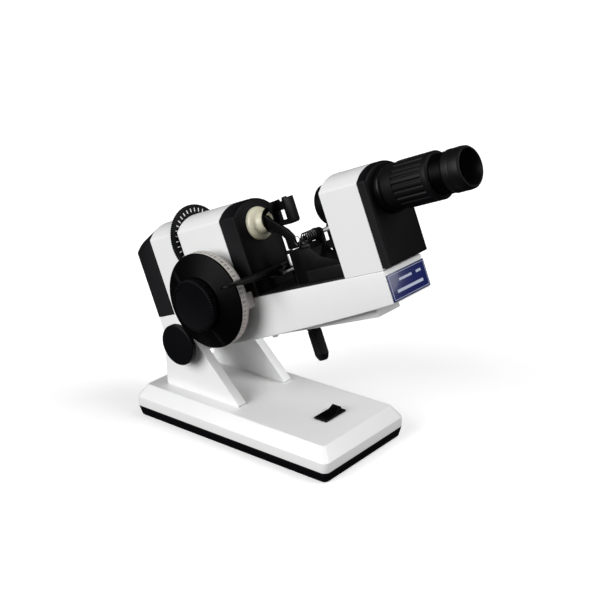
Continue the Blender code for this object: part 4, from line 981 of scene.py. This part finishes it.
CAMERA_ANGLES = (39.87, 21.21, -1.70)            # azimuth, elevation and roll in degrees
CAMERA_LENS = 72.77                              # focal length in mm
CAMERA_FROM_BASE = (0.7376, -0.8257, 0.5652)     # metres from the middle under the base


def build_studio():
    azimuth, elevation, roll = (math.radians(angle) for angle in CAMERA_ANGLES)
    right = Vector((math.cos(azimuth), math.sin(azimuth), 0.0))
    back = Vector((math.sin(azimuth) * math.cos(elevation), -math.cos(azimuth) * math.cos(elevation),
                   math.sin(elevation)))
    up = back.cross(right)
    side = right * math.cos(roll) + up * math.sin(roll)
    rise = up * math.cos(roll) - right * math.sin(roll)
    lens = bpy.data.cameras.new("camera")
    lens.sensor_width = 36.0
    lens.lens = CAMERA_LENS
    lens.clip_end = 50.0
    camera = bpy.data.objects.new("camera", lens)
    pose = Matrix.Identity(4)
    pose.col[0][0:3], pose.col[1][0:3], pose.col[2][0:3] = side, rise, back
    pose.translation = STAND.translation + Vector(CAMERA_FROM_BASE)
    camera.matrix_world = pose
    bpy.context.scene.collection.objects.link(camera)
    bpy.context.scene.camera = camera

    world = bpy.data.worlds.new("studio")
    world.use_nodes = True
    tree = world.node_tree
    # Almost dark, so that only the lights shape the object; the studio's far wall itself is white.
    seen = tree.nodes.new("ShaderNodeLightPath")
    level = tree.nodes.new("ShaderNodeMapRange")
    level.inputs["To Min"].default_value = AMBIENT
    level.inputs["To Max"].default_value = 1.0
    tree.links.new(seen.outputs["Is Camera Ray"], level.inputs["Value"])
    tree.links.new(level.outputs["Result"], tree.nodes["Background"].inputs["Strength"])
    tree.nodes["Background"].inputs["Color"].default_value = (1.0, 1.0, 1.0, 1.0)
    bpy.context.scene.world = world
    bpy.context.scene.view_settings.view_transform = "Standard"

    bm = bmesh.new()
    bmesh.ops.create_grid(bm, x_segments=1, y_segments=1, size=6000.0)
    floor = put(bm, "studio_floor", Matrix.Translation((0.0, 0.0, -0.0002)))
    floor.data.materials.append(finish("floor_paper", FLOOR_COLOUR, 0.85, 0.03, tone=0.004, specular=0.1,
                                       grain=300, bump=0.005))
    # The paper glows a little, as a lit sweep does, so that shadows on it stay pale.
    shader = floor.data.materials[0].node_tree.nodes["Principled BSDF"]
    shader.inputs["Emission Color"].default_value = (1.0, 1.0, 1.0, 1.0)
    shader.inputs["Emission Strength"].default_value = 0.35
    floor.visible_diffuse = False
    floor.visible_glossy = False

    for name, turn, rise, power, spread in LIGHTS:
        light = bpy.data.lights.new(name, "SUN")
        light.energy = power
        light.angle = math.radians(spread)
        obj = bpy.data.objects.new(name, light)
        turn, rise = math.radians(turn), math.radians(rise)
        source = Vector((math.sin(turn) * math.cos(rise), -math.cos(turn) * math.cos(rise), math.sin(rise)))
        obj.rotation_euler = source.to_track_quat("Z", "Y").to_euler()
        bpy.context.scene.collection.objects.link(obj)


AMBIENT = 0.03
FLOOR_COLOUR = (0.92, 0.92, 0.92)
# Name, direction round the object and height in degrees, strength, spread in degrees.
LIGHTS = (
    ("key", -18, 24, 3.2, 45), ("right_high", 112, 50, 1.15, 45),
    ("right_low", 110, 25, 1.45, 45), ("front", 25, 20, 0.30, 45),
)

build_stand()
build_switch()
build_castings()
build_wheel()
build_drum()
build_nose()
build_table()
build_mechanism()
build_presser()
build_marker()
build_telescope()
dress_cad_nodes()
build_studio()

bpy.context.view_layer.update()
